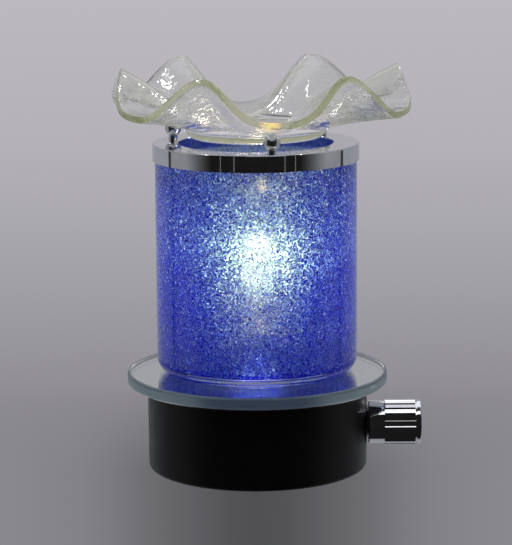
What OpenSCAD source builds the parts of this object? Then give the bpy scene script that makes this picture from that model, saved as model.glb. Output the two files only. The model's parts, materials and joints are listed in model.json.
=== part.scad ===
// Electric oil warmer that plugs straight into a wall socket.
// A fluted glass dish of scented oil rests on three balls above a glitter-lined glass shade.
// The shade stands on a round mirror, and the lamp inside it is dimmed by the knob on the housing.
// The origin is the middle of the plug's face, on the wall. +Y points into the wall and +Z up.

/* [Housing] */
// Radius of the housing at its top
body_r = 45.1; // [43:0.1:52]
// How much the radius shrinks towards the foot, as moulding draft
body_draft = 0.1; // [0:0.1:1]
// Height of the housing
body_h = 34.6; // [32:0.1:42]
// Wall of the housing
body_wall = 2.2; // [1.6:0.1:3]
// Round on the lower outside edge
body_edge_r = 1.6; // [0.4:0.1:2]
// Thickness of the bottom cover
cover_t = 2; // [1.4:0.1:2.6]

/* [Mirror] */
// Radius of the round mirror
mirror_r = 53.3; // [50:0.1:60]
// Thickness of its glass
mirror_t = 4.8; // [3:0.1:6]
// Round of its polished edge
mirror_edge_r = 1.1; // [0.4:0.1:1.4]

/* [Shade] */
// Outside radius of the glass shade
shade_r = 41; // [39:0.1:46]
// Height of the glass shade
shade_h = 93.1; // [84:0.1:110]
// Wall of the glass shade
shade_wall = 3; // [2.2:0.1:3.6]
// Thickness of the shade's floor
shade_floor_t = 4; // [3.6:0.1:6]
// Round where the shade's wall meets its floor
shade_corner_r = 6; // [4:0.1:8]
// Thickness of the glitter lining
lining_t = 0.3; // [0.2:0.05:0.5]

/* [Top ring] */
// Height of the chrome ring
ring_h = 6.8; // [5:0.1:10]
// Sheet thickness of the ring
ring_t = 0.8; // [0.6:0.1:1.2]
// Radius of the ring's mouth
mouth_r = 31.4; // [30:0.1:33]
// Radius of the balls that carry the dish
ball_r = 3.45; // [2.8:0.05:4]
// Height of the balls' centres above the ring
ball_rise = 4.4; // [4.1:0.1:5.4]

/* [Dish] */
// Outside radius of the dish's foot
foot_r = 28.2; // [25:0.1:29]
// How far the middle of the foot bows down below its edge
foot_bow = 2.4; // [0.4:0.1:2.6]
// Thickness of the dish's glass
dish_t = 2.6; // [2:0.1:3]
// Mean radius of the wavy rim
rim_r = 58.8; // [54:0.1:64]
// How much further the troughs reach out than the mean
rim_breath = 1.6; // [0:0.1:3]
// How much further the rim reaches out half way between a trough and a crest
rim_swell = 1.1; // [0:0.1:2]
// How far the hand-slumped rim leans to +X of its foot
rim_lean = 1.8; // [0:0.1:3]
// Height of the mean rim above the foot
rim_h = 18.9; // [17:0.1:26]
// Half height of the waves in the rim
wave_h = 8; // [5:0.1:11]
// How much deeper the trough at the back hangs than the others
back_dip = 5; // [0:0.1:6]

/* [Lamp] */
// Radius of the reflector lamp at its face
bulb_r = 25; // [22:0.1:25.5]
// Length of the lamp from its seat to its rim
bulb_h = 49; // [45:0.1:56]
// Pitch between the two pins of the lamp
pin_pitch = 10; // [9.6:0.1:10.6]
// Height of the ceramic lampholder
holder_h = 15; // [13:0.1:16]

/* [Dimmer knob] */
// Radius of the knob over its ribs
knob_r = 9.6; // [9:0.1:12]
// Length of the knob
knob_l = 21.9; // [20:0.1:30]
// Gap between the knob and the housing
knob_gap = 0.6; // [0.4:0.1:1.5]
// Number of ribs round the grip
knob_ribs = 24; // [18:1:36]
// Radius of the dimmer's case
case_r = 8.3; // [7:0.1:8.6]

/* [Wall plug] */
// Gap between the rim of the dish and the wall
wall_clearance = 5.8; // [4:0.1:12]
// Radius of the neck that carries the plug
neck_r = 14.8; // [14.4:0.1:15.4]
// Length of the two blades beyond the plug's face
blade_l = 16.5; // [15:0.1:18]
// Distance between the two blades
blade_pitch = 12.7; // [12:0.1:13]

/* [Hidden] */
$fn = 96;

// Overrun of every cut past the face that it opens
over = 1;
// Running clearance of a shaft in its bore
run_gap = 0.05;
// Loose gap between parts that only pass each other
gap = 0.2;
// Pieces in a rounded corner of an outline, and in a small one
arc_steps = 5;
lip_steps = 3;

// Heights of the stack, measured from the middle of the plug
body_top = body_h / 2;
body_foot = -body_h / 2;
pad_t = 0.5;
pad_w = 8;
backing_t = 0.3;
glass_foot = body_top + pad_t + backing_t;
mirror_top = glass_foot + mirror_t;
ring_top = mirror_top + shade_h + ring_t;

// Where the lamp's axis stands in front of the wall
axis_gap = rim_r + rim_swell + dish_t / 2 + wall_clearance;

// Housing: radii at the foot and at mid height, the hole for the lampholder, and the screws' sizes
foot_body_r = body_r - body_draft;
mid_body_r = body_r - body_draft / 2;
foot_in_r = foot_body_r - body_wall;
mid_in_r = mid_body_r - body_wall;
edge_r = min(body_edge_r, body_wall * 0.8);
holder_hole_gap = 1;
pilot_r = 1.3;
screw_r = pilot_r - run_gap;
boss_r = 3.2;
head_r = 2.7;
head_h = 1.8;
hole_r = screw_r + gap;

// Bottom cover: three screws near its edge, and vent slots under the circuit board
cover_first_angle = 60;
cover_top = body_foot + cover_t;
cover_bolt_r = foot_in_r - boss_r - gap;
cover_bolts = 3;
cover_screw_l = 9;
vent_count = 7;
vent_w = 2.2;
vent_l = 30;
vent_pitch = 5;

// Clamp collar: holds the mirror down and centres the shade
bulb_way = 3.5;
shade_hole_r = bulb_r + bulb_way;
collar_r = shade_hole_r - gap;
collar_t = 1.2;
collar_lip_h = 3;
collar_hook_w = 2.8;
collar_land = 0.7;
mirror_hole_r = collar_r - collar_hook_w;
collar_wall_r = mirror_hole_r - gap;
collar_in_r = collar_wall_r - collar_t - 2 * head_r - collar_land;
collar_bolt_r = collar_wall_r - collar_t - head_r - gap;
collar_bolts = 3;
collar_screw_l = 6;
collar_boss_h = 5;

// Lampholder: a ceramic cap with two bayonet slots, on a ceramic base with a chamber for the contacts
holder_recess = 2;
holder_top = mirror_top - holder_recess;
holder_foot = holder_top - holder_h;
holder_r = 14.5;
unlock_angle = 20;
pin_r = 1.5;
pin_head_r = 2.5;
pin_l = 4.6;
pin_head_l = 2.6;
slot_gap = 0.3;
slot_roof_t = 3.8;
chamber_h = 4.6;
cap_foot = holder_top - slot_roof_t;
chamber_r = pin_pitch / 2 + pin_head_r + slot_gap;
contact_r = 1.6;
contact_tail = 2.6;
contact_hole_r = 2.6;
holder_bolt_r = 10.7;
holder_head_h = 2;
bracket_t = 1.2;
bracket_w = 12;
bracket_foot = holder_foot - bracket_t;
bracket_bolt_r = 26;
bracket_screw_l = 8;

// Reflector lamp
bulb_seat_r = 13;
bulb_neck_r = 11.5;
bulb_base_h = 13;
bulb_rim_h = 3;
bulb_wall = 1.2;
lens_t = 1.5;
lens_recess = 0.5;
capsule_r = 4.5;
capsule_h = 18;
bulb_curve_share = 0.62;

// Dimmer: a round case inside the wall, with a bush through it
case_l = 9;
case_face_x = sqrt(pow(mid_in_r, 2) - pow(case_r, 2)) - gap / 2;
case_back_x = case_face_x - case_l;
wafer_t = 2;
wafer_w = 14;
wafer_x = case_back_x + wafer_t / 2;
leg_r = 0.5;
leg_pitch = 5;
bush_r = 3.5;
shaft_r = 3;
washer_r = 6.4;
washer_t = 0.5;
nut_w = 10;
nut_t = 1.8;
thread_show = 0.6;
washer_x = mid_body_r + gap / 2;
nut_x = washer_x + washer_t;
bush_end_x = nut_x + nut_t + thread_show;

// Knob: a smooth collar, a ribbed grip, a groove and an end rim
knob_x = mid_body_r + knob_gap;
knob_end_x = knob_x + knob_l;
knob_collar_step = 0.8;
knob_collar_r = knob_r - knob_collar_step;
knob_collar_l = 6.5;
knob_collar_edge = 0.4;
knob_rim_l = 1.9;
knob_groove_l = 0.8;
knob_groove_depth = 1.3;
knob_groove_r = knob_r - knob_groove_depth;
knob_rim_step = 0.6;
knob_rim_r = knob_r - knob_rim_step;
knob_rim_edge = 0.8;
knob_rib_h = 0.4;
knob_land_share = 0.62;
knob_shell_t = 1.5;
knob_face_t = 2;
insert_r = 5.4;
insert_face_x = knob_end_x - knob_face_t;
insert_back_x = max(knob_x + knob_collar_l, bush_end_x + gap);
insert_cap_t = 2;
shaft_end_x = insert_face_x - insert_cap_t;

// Circuit board under the lampholder, on pillars of the bottom cover
board_t = 1.6;
board_clear = 0.6;
board_top = -case_r - board_clear;
board_foot = board_top - board_t;
leg_stub_share = 0.4;
leg_l = gap + board_t + leg_stub_share * (board_foot - cover_top);
board_half_w = 22;
board_x0 = -30;
leg_margin = 2;
board_x1 = wafer_x + leg_margin;
board_edge_gap = 2;
board_bolt_x = 24;
board_back_bolt_x = -26;
board_bolt_y = 17;
board_screw_l = 5.4;

// Components on the board: their sizes and places
choke_r = 8;
choke_hole_r = 3.6;
choke_h = 7;
choke_x = -17;
choke_y = 8;
cap_w = 13;
cap_d = 6;
cap_h = 9.5;
cap_x = -16;
cap_y = -9;
triac_w = 10;
triac_d = 4.4;
triac_h = 9;
triac_x = 14;
triac_y = 12;
tab_t = 1.3;
tab_h = 2.6;
resistor_r = 1.2;
resistor_l = 6.5;
resistor_x = 14;
resistor_y = -9;
resistor_pitch = 4;
resistor_wire_shares = [0.1, 0.9];
wire_r = 0.35;
fuse_r = 2.4;
fuse_l = 10;
fuse_x = 1;
fuse_y = 14;
body_lift = 0.4;

// Plug turret, its keeper and the sliding contacts behind it
turret_t = 4;
turret_edge = 0.8;
neck_end = -turret_t - gap;
journal_r = 10;
journal_bore_r = journal_r + run_gap;
journal_l = 7.4;
journal_end = -turret_t - journal_l;
keeper_r = 12.1;
keeper_t = 1.5;
keeper_back = journal_end - keeper_t;
shoulder_y = journal_end + gap;
cavity_r = keeper_r + 2 * gap;
ring_contact_t = 0.8;
contact_back = keeper_back - ring_contact_t;
inner_contact_r = 4.9;
outer_contact_r = 11;
contact_w = 2;
block_r = 13;
block_t = 3;
brush_reach = 5.2;
block_face = contact_back - brush_reach;
block_back = block_face - block_t;
block_gap = 0.15;
brush_r = 0.9;
brush_foot_r = 1.5;
brush_foot_l = 2;
brush_tail = 2.2;
blade_t = 1.5;
blade_w = 6.35;
wide_blade_w = 7.9;
blade_tip = 1.2;
keeper_bolt_r = (inner_contact_r + outer_contact_r - contact_w) / 2;
keeper_screw_l = 5;
keeper_head_r = 1.8;

// Leads
lead_r = 0.9;
lead_sides = 8;
lead_steps = 4;
lead_gap = 0.15;

// Posts that carry the dish
shank_r = 1.2;
tail_r = 1.7;
tail_h = 0.8;
collar_neck_r = 1.9;
posts = 3;
post_angle = 10;
ring_gap = 0.15;
ring_in_r = shade_r + ring_gap;
ring_r = ring_in_r + ring_t;
ring_edge_r = ring_t * 0.75;
lining_in_r = shade_r - shade_wall - lining_t;
post_r = lining_in_r - tail_r - gap / 2;

// Dish: its foot, its short upright wall and the flare out to the rim in six waves
waves = 6;
foot_edge_r = 3;
foot_flat_r = foot_r - foot_edge_r;
foot_slope = atan(2 * foot_bow / foot_flat_r);
foot_edge_h = foot_bow + foot_edge_r * cos(foot_slope);
dish_wall_rise = 0.25;
dish_wall_h = foot_edge_h + dish_wall_rise;
dish_wall_lean = 0.8;
dish_wall_r = foot_r + dish_wall_lean;
crest_lift = 1.5;
flare_power = 1.2;
dish_angle = 6.6;
dish_turns = 96;
flare_rings = 9;
probe = 0.004;
seat_gap = 0.3;

// Height, above the dish's foot, of the flare's underside over a ball
seat_share = sqrt((post_r - dish_wall_r) / (trough_r() - dish_wall_r));
seat_h = dish_wall_h + (trough_h() - dish_wall_h) * pow(seat_share, flare_power);
dish_foot_z = ring_top + ball_rise + ball_r + seat_gap - seat_h;

function trough_r() = rim_r + rim_breath - rim_swell;
function trough_h() = rim_h - wave_h + crest_lift;

// Points of an arc in the plane, from one angle to another
function arc(x, y, r, from, to, steps = arc_steps) =
    [for (i = [0:steps]) let (a = from + (to - from) * i / steps) [x + r * cos(a), y + r * sin(a)]];

// Moves what is modelled round the lamp's own axis to its place in front of the wall
module on_axis() translate([0, -axis_gap, 0]) children();

// Turns what is modelled along Z to run along X, out through the side of the housing
module along_x(x = 0) translate([x, 0, 0]) rotate([0, 90, 0]) children();

// Turns what is modelled along Z to run along Y, towards the wall
module along_y(y = 0) translate([0, y, 0]) rotate([-90, 0, 0]) children();

// Copies round the lamp's axis
module round_axis(count, r, first = 0) {
    for (i = [0:count - 1]) rotate([0, 0, first + i * 360 / count]) translate([r, 0, 0]) children();
}

// A pan-head screw with its head's seat at z = 0 and its shank pointing down
module screw(shank_l, r = screw_r, head = head_r, h = head_h) {
    difference() {
        cylinder(h = h, r1 = head, r2 = head * 0.8);
        for (a = [0, 90]) rotate([0, 0, a])
            translate([-head * 0.6, -head * 0.12, h * 0.5]) cube([head * 1.2, head * 0.24, h]);
    }
    translate([0, 0, -shank_l]) cylinder(h = shank_l, r = r);
}

// Housing

module housing_void() {
    translate([0, 0, body_foot - over])
        cylinder(h = over, r = foot_in_r);
    translate([0, 0, body_foot])
        cylinder(h = body_h - body_wall, r1 = foot_in_r, r2 = body_r - body_wall);
}

module housing_shell() {
    rotate_extrude() polygon(concat(
        [[0, body_foot]],
        arc(foot_body_r - edge_r, body_foot + edge_r, edge_r, -90, 0),
        [[body_r, body_top], [0, body_top]]));
}

// Neck from the lamp's axis to the turret, no higher than the housing itself
module neck() {
    intersection() {
        along_y(-axis_gap) cylinder(h = axis_gap + neck_end, r = neck_r);
        translate([-neck_r, -axis_gap, body_foot]) cube([2 * neck_r, axis_gap + neck_end, body_h]);
    }
}

module cover_places() round_axis(cover_bolts, cover_bolt_r, cover_first_angle) children();

module collar_places() round_axis(collar_bolts, collar_bolt_r) children();

module bracket_places() {
    for (side = [-1, 1]) translate([0, side * bracket_bolt_r, 0]) children();
}

module housing() {
    color("#17171a") {
        difference() {
            union() {
                on_axis() difference() {
                    housing_shell();
                    housing_void();
                }
                difference() {
                    neck();
                    on_axis() housing_void();
                }
                on_axis() {
                    cover_places() translate([0, 0, cover_top])
                        cylinder(h = body_top - body_wall - cover_top + gap, r = boss_r);
                    collar_places() translate([0, 0, body_top - body_wall - collar_boss_h])
                        cylinder(h = collar_boss_h + gap, r = boss_r - gap);
                    bracket_places() translate([0, 0, holder_foot])
                        cylinder(h = body_top - body_wall - holder_foot + gap, r = boss_r);
                }
            }
            on_axis() {
                translate([0, 0, body_top - body_wall - over])
                    cylinder(h = body_wall + 2 * over, r = holder_r + holder_hole_gap);
                cover_places() translate([0, 0, cover_top - over])
                    cylinder(h = cover_screw_l + over, r = pilot_r);
                collar_places() translate([0, 0, body_top - collar_screw_l])
                    cylinder(h = collar_screw_l + over, r = pilot_r);
                bracket_places() translate([0, 0, holder_foot - over])
                    cylinder(h = bracket_screw_l + over, r = pilot_r);
                along_x(case_face_x) cylinder(h = body_wall + 2 * over, r = bush_r + run_gap);
            }
            along_y(shoulder_y) cylinder(h = neck_end - shoulder_y + over, r = journal_bore_r);
            along_y(block_face) cylinder(h = shoulder_y - block_face, r = cavity_r);
            along_y(-axis_gap + mid_in_r - boss_r)
                cylinder(h = block_face + axis_gap - mid_in_r + boss_r, r = block_r + block_gap);
        }
    }
}

module bottom_cover() {
    color("#1b1b1e") on_axis() {
        difference() {
            union() {
                translate([0, 0, body_foot]) cylinder(h = cover_t, r = foot_in_r - gap);
                board_places() translate([0, 0, cover_top - gap])
                    cylinder(h = board_foot - cover_top + gap, r = boss_r - gap);
            }
            cover_places() {
                translate([0, 0, body_foot - over]) cylinder(h = cover_t + 2 * over, r = hole_r);
                translate([0, 0, body_foot - over]) cylinder(h = over + cover_t / 2, r = head_r + gap);
            }
            board_places() translate([0, 0, board_foot - board_screw_l + board_t])
                cylinder(h = board_screw_l + over, r = pilot_r);
            for (i = [0:vent_count - 1])
                translate([0, (i - (vent_count - 1) / 2) * vent_pitch, body_foot + cover_t / 2])
                    cube([vent_l, vent_w, cover_t + 2 * over], center = true);
        }
    }
}

module cover_screws() {
    color("silver") on_axis() cover_places()
        translate([0, 0, body_foot + cover_t / 2]) rotate([180, 0, 0])
            screw(cover_screw_l - over, h = cover_t / 2);
}

// Mirror

module mirror_pad() {
    color("#303030") on_axis() translate([0, 0, body_top]) difference() {
        cylinder(h = pad_t, r = body_r - body_wall);
        translate([0, 0, -over]) cylinder(h = pad_t + 2 * over, r = body_r - body_wall - pad_w);
    }
}

module mirror_backing() {
    color("#8f9296") on_axis() translate([0, 0, body_top + pad_t]) difference() {
        cylinder(h = backing_t, r = mirror_r - mirror_edge_r);
        translate([0, 0, -over]) cylinder(h = backing_t + 2 * over, r = mirror_hole_r);
    }
}

module mirror_disc() {
    color("#b9c9c6", 0.6) on_axis() rotate_extrude() polygon(concat(
        [[mirror_hole_r, glass_foot]],
        arc(mirror_r - mirror_edge_r, glass_foot + mirror_edge_r, mirror_edge_r, -90, 0),
        arc(mirror_r - mirror_edge_r, mirror_top - mirror_edge_r, mirror_edge_r, 0, 90),
        [[mirror_hole_r, mirror_top]]));
}

module clamp_collar() {
    color("#c9ccd0") on_axis() difference() {
        rotate_extrude() polygon([
            [collar_in_r, body_top],
            [collar_wall_r, body_top],
            [collar_wall_r, mirror_top],
            [collar_r, mirror_top],
            [collar_r, mirror_top + collar_lip_h],
            [collar_r - collar_t, mirror_top + collar_lip_h],
            [collar_r - collar_t, mirror_top + collar_t],
            [collar_wall_r - collar_t, mirror_top + collar_t],
            [collar_wall_r - collar_t, body_top + collar_t],
            [collar_in_r, body_top + collar_t]]);
        collar_places() translate([0, 0, body_top - over])
            cylinder(h = collar_t + 2 * over, r = hole_r);
    }
}

module collar_screws() {
    color("silver") on_axis() collar_places()
        translate([0, 0, body_top + collar_t]) screw(collar_screw_l);
}

// Lampholder and its bracket

// One bayonet slot's plan: an arc of the pin circle, as wide as a pin or its head
module slot_arc(r, h) {
    rotate_extrude(angle = unlock_angle) translate([pin_pitch / 2 - r, 0]) square([2 * r, h]);
    for (a = [0, unlock_angle]) rotate([0, 0, a]) translate([pin_pitch / 2, 0, 0]) cylinder(h = h, r = r);
}

module holder_bolts() {
    for (side = [-1, 1]) translate([0, side * holder_bolt_r, 0]) children();
}

module lampholder() {
    color("#ece7da") on_axis() difference() {
        translate([0, 0, cap_foot]) cylinder(h = slot_roof_t, r = holder_r);
        for (side = [0, 180]) rotate([0, 0, side]) translate([0, 0, cap_foot - over]) {
            slot_arc(pin_r + slot_gap, slot_roof_t + 2 * over);
            rotate([0, 0, unlock_angle]) translate([pin_pitch / 2, 0, 0])
                cylinder(h = slot_roof_t + 2 * over, r = pin_head_r + slot_gap);
        }
        holder_bolts() {
            translate([0, 0, cap_foot - over]) cylinder(h = slot_roof_t + 2 * over, r = hole_r);
            translate([0, 0, holder_top - holder_head_h - gap])
                cylinder(h = holder_head_h + over, r = head_r + gap);
        }
    }
}

module holder_base() {
    color("#e4dfd0") on_axis() translate([0, 0, holder_foot]) difference() {
        cylinder(h = cap_foot - holder_foot, r = holder_r);
        translate([0, 0, cap_foot - holder_foot - chamber_h]) cylinder(h = chamber_h + over, r = chamber_r);
        for (side = [-1, 1]) translate([side * pin_pitch / 2, 0, -over])
            cylinder(h = cap_foot - holder_foot + 2 * over, r = contact_r + run_gap);
        holder_bolts() translate([0, 0, -over])
            cylinder(h = cap_foot - holder_foot + 2 * over, r = hole_r);
    }
}

module socket_contacts() {
    color("#c9a24a") on_axis() for (side = [-1, 1])
        translate([side * pin_pitch / 2, 0, holder_foot - contact_tail])
            cylinder(h = holder_h + contact_tail - pin_l - pin_head_l - gap, r = contact_r);
}

module holder_bracket() {
    color("#b4b7bb") on_axis() translate([0, 0, bracket_foot]) difference() {
        union() {
            translate([-bracket_w / 2, -bracket_bolt_r, 0])
                cube([bracket_w, 2 * bracket_bolt_r, bracket_t]);
            bracket_places() cylinder(h = bracket_t, r = bracket_w / 2);
            cylinder(h = bracket_t, r = holder_r);
        }
        bracket_places() translate([0, 0, -over]) cylinder(h = bracket_t + 2 * over, r = hole_r);
        for (side = [-1, 1]) translate([side * pin_pitch / 2, 0, -over])
            cylinder(h = bracket_t + 2 * over, r = contact_hole_r);
        holder_bolts() translate([0, 0, -over]) cylinder(h = bracket_t + 2 * over, r = screw_r + run_gap);
    }
}

module holder_screws() {
    color("silver") on_axis() holder_bolts()
        translate([0, 0, holder_top - holder_head_h - gap])
            screw(holder_h - holder_head_h + bracket_t + gap, h = holder_head_h);
}

module bracket_screws() {
    color("silver") on_axis() bracket_places()
        translate([0, 0, bracket_foot]) rotate([180, 0, 0]) screw(bracket_screw_l);
}

// Circuit board and what is soldered to it

module board_places() {
    for (x = [board_back_bolt_x, board_bolt_x], side = [-1, 1])
        translate([x, side * board_bolt_y, 0]) children();
}

module circuit_board() {
    color("#1f6b43") on_axis() translate([0, 0, board_foot]) difference() {
        intersection() {
            cylinder(h = board_t, r = foot_in_r - board_edge_gap);
            translate([board_x0, -board_half_w, 0])
                cube([board_x1 - board_x0, 2 * board_half_w, board_t]);
        }
        board_places() translate([0, 0, -over]) cylinder(h = board_t + 2 * over, r = hole_r);
        for (i = [-1:1]) translate([wafer_x, i * leg_pitch, -over])
            cylinder(h = board_t + 2 * over, r = leg_r + gap);
    }
}

module board_screws() {
    color("silver") on_axis() board_places()
        translate([0, 0, board_top]) screw(board_screw_l - over);
}

module choke() {
    color("#a5662c") on_axis() translate([choke_x, choke_y, board_top + choke_h / 2])
        rotate_extrude() translate([(choke_r + choke_hole_r) / 2, 0]) intersection() {
            square([choke_r - choke_hole_r, choke_h], center = true);
            circle(r = choke_h * 0.56);
        }
}

module capacitor() {
    color("#d9b13b") on_axis() translate([cap_x - cap_w / 2, cap_y - cap_d / 2, board_top])
        cube([cap_w, cap_d, cap_h]);
}

module triac() {
    color("#26262a") on_axis() translate([triac_x, triac_y, board_top]) {
        translate([-triac_w / 2, -triac_d / 2, 0]) cube([triac_w, triac_d, triac_h]);
        translate([-triac_w / 2, triac_d / 2 - tab_t, 0]) difference() {
            cube([triac_w, tab_t, triac_h + tab_h]);
            translate([triac_w / 2, -over, triac_h + tab_h / 2]) rotate([-90, 0, 0])
                cylinder(h = tab_t + 2 * over, r = tab_h / 3);
        }
    }
}

module resistors() {
    stand = resistor_r + body_lift;
    color("#c8a77a") on_axis() for (i = [-1:1])
        translate([resistor_x - resistor_l / 2, resistor_y + i * resistor_pitch, board_top + stand]) union() {
            rotate([0, 90, 0]) cylinder(h = resistor_l, r = resistor_r);
            for (share = resistor_wire_shares) translate([share * resistor_l, 0, -stand])
                cylinder(h = stand, r = wire_r);
        }
}

module fuse() {
    color("#e3e6e4") on_axis() translate([fuse_x, fuse_y, board_top + fuse_r])
        rotate([0, 90, 0]) cylinder(h = fuse_l, r = fuse_r, center = true);
}

// Dimmer

module dimmer_case() {
    color("#9a9da1") on_axis() {
        along_x(case_back_x) difference() {
            cylinder(h = case_l, r = case_r);
            translate([0, 0, wafer_t]) cylinder(h = case_l, r = shaft_r + run_gap);
        }
        translate([case_back_x, -wafer_w / 2, board_top + gap])
            cube([wafer_t, wafer_w, -board_top - gap]);
    }
}

module dimmer_pins() {
    color("#c9a24a") on_axis() for (i = [-1:1])
        translate([wafer_x, i * leg_pitch, board_top + gap - leg_l]) cylinder(h = leg_l, r = leg_r);
}

module dimmer_bush() {
    color("#c3a86a") on_axis() along_x(case_face_x) difference() {
        cylinder(h = bush_end_x - case_face_x, r = bush_r);
        translate([0, 0, -over]) cylinder(h = bush_end_x - case_face_x + 2 * over, r = shaft_r + run_gap);
    }
}

module dimmer_washer() {
    color("silver") on_axis() along_x(washer_x) difference() {
        cylinder(h = washer_t, r = washer_r);
        translate([0, 0, -over]) cylinder(h = washer_t + 2 * over, r = bush_r + run_gap);
    }
}

module dimmer_nut() {
    color("silver") on_axis() along_x(nut_x) difference() {
        cylinder(h = nut_t, r = nut_w / sqrt(3), $fn = 6);
        translate([0, 0, -over]) cylinder(h = nut_t + 2 * over, r = bush_r + run_gap);
    }
}

module dimmer_shaft() {
    color("#b8a06a") on_axis() along_x(case_back_x + wafer_t + gap)
        cylinder(h = shaft_end_x - case_back_x - wafer_t - gap, r = shaft_r);
}

module knob_insert() {
    color("#202022") on_axis() along_x(insert_back_x) difference() {
        cylinder(h = insert_face_x - insert_back_x, r = insert_r);
        translate([0, 0, -over])
            cylinder(h = shaft_end_x - insert_back_x + gap + over, r = shaft_r + run_gap);
    }
}

// Plan of the ribbed grip: a round bar with a straight groove between each rib and the next
module rib_plan(r) {
    groove_share = (1 + knob_land_share) / 2;
    corners = [[0, r], [knob_land_share, r], [groove_share, r - knob_rib_h]];
    polygon([for (i = [0:knob_ribs - 1], corner = corners)
        let (a = (i + corner[0]) * 360 / knob_ribs) corner[1] * [cos(a), sin(a)]]);
}

module dimmer_knob() {
    grip_l = knob_l - knob_collar_l - knob_groove_l - knob_rim_l;
    color("#d4d6da") on_axis() along_x(knob_x) difference() {
        union() {
            rotate_extrude() polygon(concat(
                [[0, 0], [knob_collar_r - knob_collar_edge, 0], [knob_collar_r, knob_collar_edge],
                    [knob_collar_r, knob_collar_l], [knob_groove_r, knob_collar_l],
                    [knob_groove_r, knob_l - knob_rim_l], [knob_rim_r, knob_l - knob_rim_l]],
                arc(knob_rim_r - knob_rim_edge, knob_l - knob_rim_edge, knob_rim_edge, 0, 90),
                [[0, knob_l]]));
            translate([0, 0, knob_collar_l]) linear_extrude(height = grip_l) rib_plan(knob_r);
        }
        translate([0, 0, -over])
            cylinder(h = knob_collar_l + over, r = knob_collar_r - knob_shell_t);
        cylinder(h = insert_face_x - knob_x, r = insert_r + run_gap);
    }
}

// Wall plug

module plug_turret() {
    color("#1b1b1e") difference() {
        along_y(0) union() {
            mirror([0, 0, 1]) rotate_extrude() polygon(concat(
                [[0, 0]],
                arc(neck_r - turret_edge, turret_edge, turret_edge, -90, 0),
                [[neck_r, turret_t], [0, turret_t]]));
            translate([0, 0, journal_end]) cylinder(h = journal_l + gap, r = journal_r);
        }
        blade_slot(1, blade_w);
        blade_slot(-1, wide_blade_w);
        keeper_places(journal_end) translate([0, 0, -over])
            cylinder(h = keeper_screw_l + over, r = pilot_r);
    }
}

// Slot through the turret for one blade
module blade_slot(side, width) {
    translate([side * blade_pitch / 2 - blade_t / 2 - run_gap, journal_end - over, -width / 2 - run_gap])
        cube([blade_t + 2 * run_gap, -journal_end + 2 * over, width + 2 * run_gap]);
}

// Places of the keeper's two screws, above and below the blades
module keeper_places(y) {
    for (side = [-1, 1]) translate([0, y, side * keeper_bolt_r]) rotate([-90, 0, 0]) children();
}

module one_blade(side, width) {
    translate([side * blade_pitch / 2 + blade_t / 2, 0, 0]) rotate([0, -90, 0])
        linear_extrude(height = blade_t) polygon([
            [-width / 2, journal_end], [width / 2, journal_end],
            [width / 2, blade_l - blade_tip], [width / 2 - blade_tip, blade_l],
            [-width / 2 + blade_tip, blade_l], [-width / 2, blade_l - blade_tip]]);
}

module plug_blades() {
    color("#c8b27a") {
        one_blade(1, blade_w);
        one_blade(-1, wide_blade_w);
    }
}

module turret_keeper() {
    color("#26262a") difference() {
        along_y(keeper_back) cylinder(h = keeper_t, r = keeper_r);
        keeper_places(keeper_back) translate([0, 0, -over]) cylinder(h = keeper_t + 2 * over, r = hole_r);
    }
}

module keeper_screws() {
    color("silver") keeper_places(keeper_back) rotate([180, 0, 0])
        screw(keeper_t + keeper_screw_l - over, head = keeper_head_r, h = ring_contact_t);
}

// Two concentric brass rings on the keeper, one for each blade
module slip_rings() {
    color("#c9a24a") along_y(contact_back) for (r = [inner_contact_r, outer_contact_r]) difference() {
        cylinder(h = ring_contact_t, r = r);
        translate([0, 0, -over]) cylinder(h = ring_contact_t + 2 * over, r = r - contact_w);
    }
}

module brush_places(y) {
    translate([inner_contact_r - contact_w / 2, y, 0]) rotate([-90, 0, 0]) children();
    translate([-outer_contact_r + contact_w / 2, y, 0]) rotate([-90, 0, 0]) children();
}

module brush_block() {
    color("#d8d2c2") difference() {
        along_y(block_back) cylinder(h = block_t, r = block_r);
        brush_places(block_back) translate([0, 0, -over])
            cylinder(h = block_t + 2 * over, r = brush_r + run_gap);
    }
}

module brushes() {
    color("#c9a24a") brush_places(block_face) {
        cylinder(h = contact_back - block_face - gap, r = brush_r);
        cylinder(h = brush_foot_l, r = brush_foot_r);
        translate([0, 0, -block_t - brush_tail]) cylinder(h = block_t + brush_tail, r = brush_r);
    }
}

// Leads

function mix3(a, b, t) = a * (1 - t) + b * t;

// A point between b and c on the smooth curve that runs through a, b, c and d
function between(a, b, c, d, t) = 0.5 * (2 * b + (c - a) * t
    + (2 * a - 5 * b + 4 * c - d) * pow(t, 2) + (3 * b - a - 3 * c + d) * pow(t, 3));

// A smooth curve through the points, as many steps to each stretch
function smooth(p) = [for (i = [0:len(p) - 2], k = [0:lead_steps - 1])
        between(p[max(i - 1, 0)], p[i], p[i + 1], p[min(i + 2, len(p) - 1)], k / lead_steps),
    p[len(p) - 1]];

function unit(v) = v / norm(v);

// A round tube along the points of a route that keeps one X
module tube(route, r) {
    p = smooth(route);
    n = len(p);
    points = [for (i = [0:n - 1])
        let (t = unit(p[min(i + 1, n - 1)] - p[max(i - 1, 0)]),
            u = unit(cross(t, [1, 0, 0])), v = cross(t, u))
        for (k = [0:lead_sides - 1]) let (a = 360 * k / lead_sides) p[i] + r * (u * cos(a) + v * sin(a))];
    faces = concat(
        [[for (k = [0:lead_sides - 1]) k]],
        [[for (k = [lead_sides - 1:-1:0]) (n - 1) * lead_sides + k]],
        [for (i = [0:n - 2], k = [0:lead_sides - 1], half = [0, 1])
            let (a = i * lead_sides + k, b = i * lead_sides + (k + 1) % lead_sides, c = a + lead_sides,
                d = b + lead_sides)
            half == 0 ? [a, c, b] : [b, c, d]]);
    polyhedron(points = points, faces = faces, convexity = 6);
}

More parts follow.
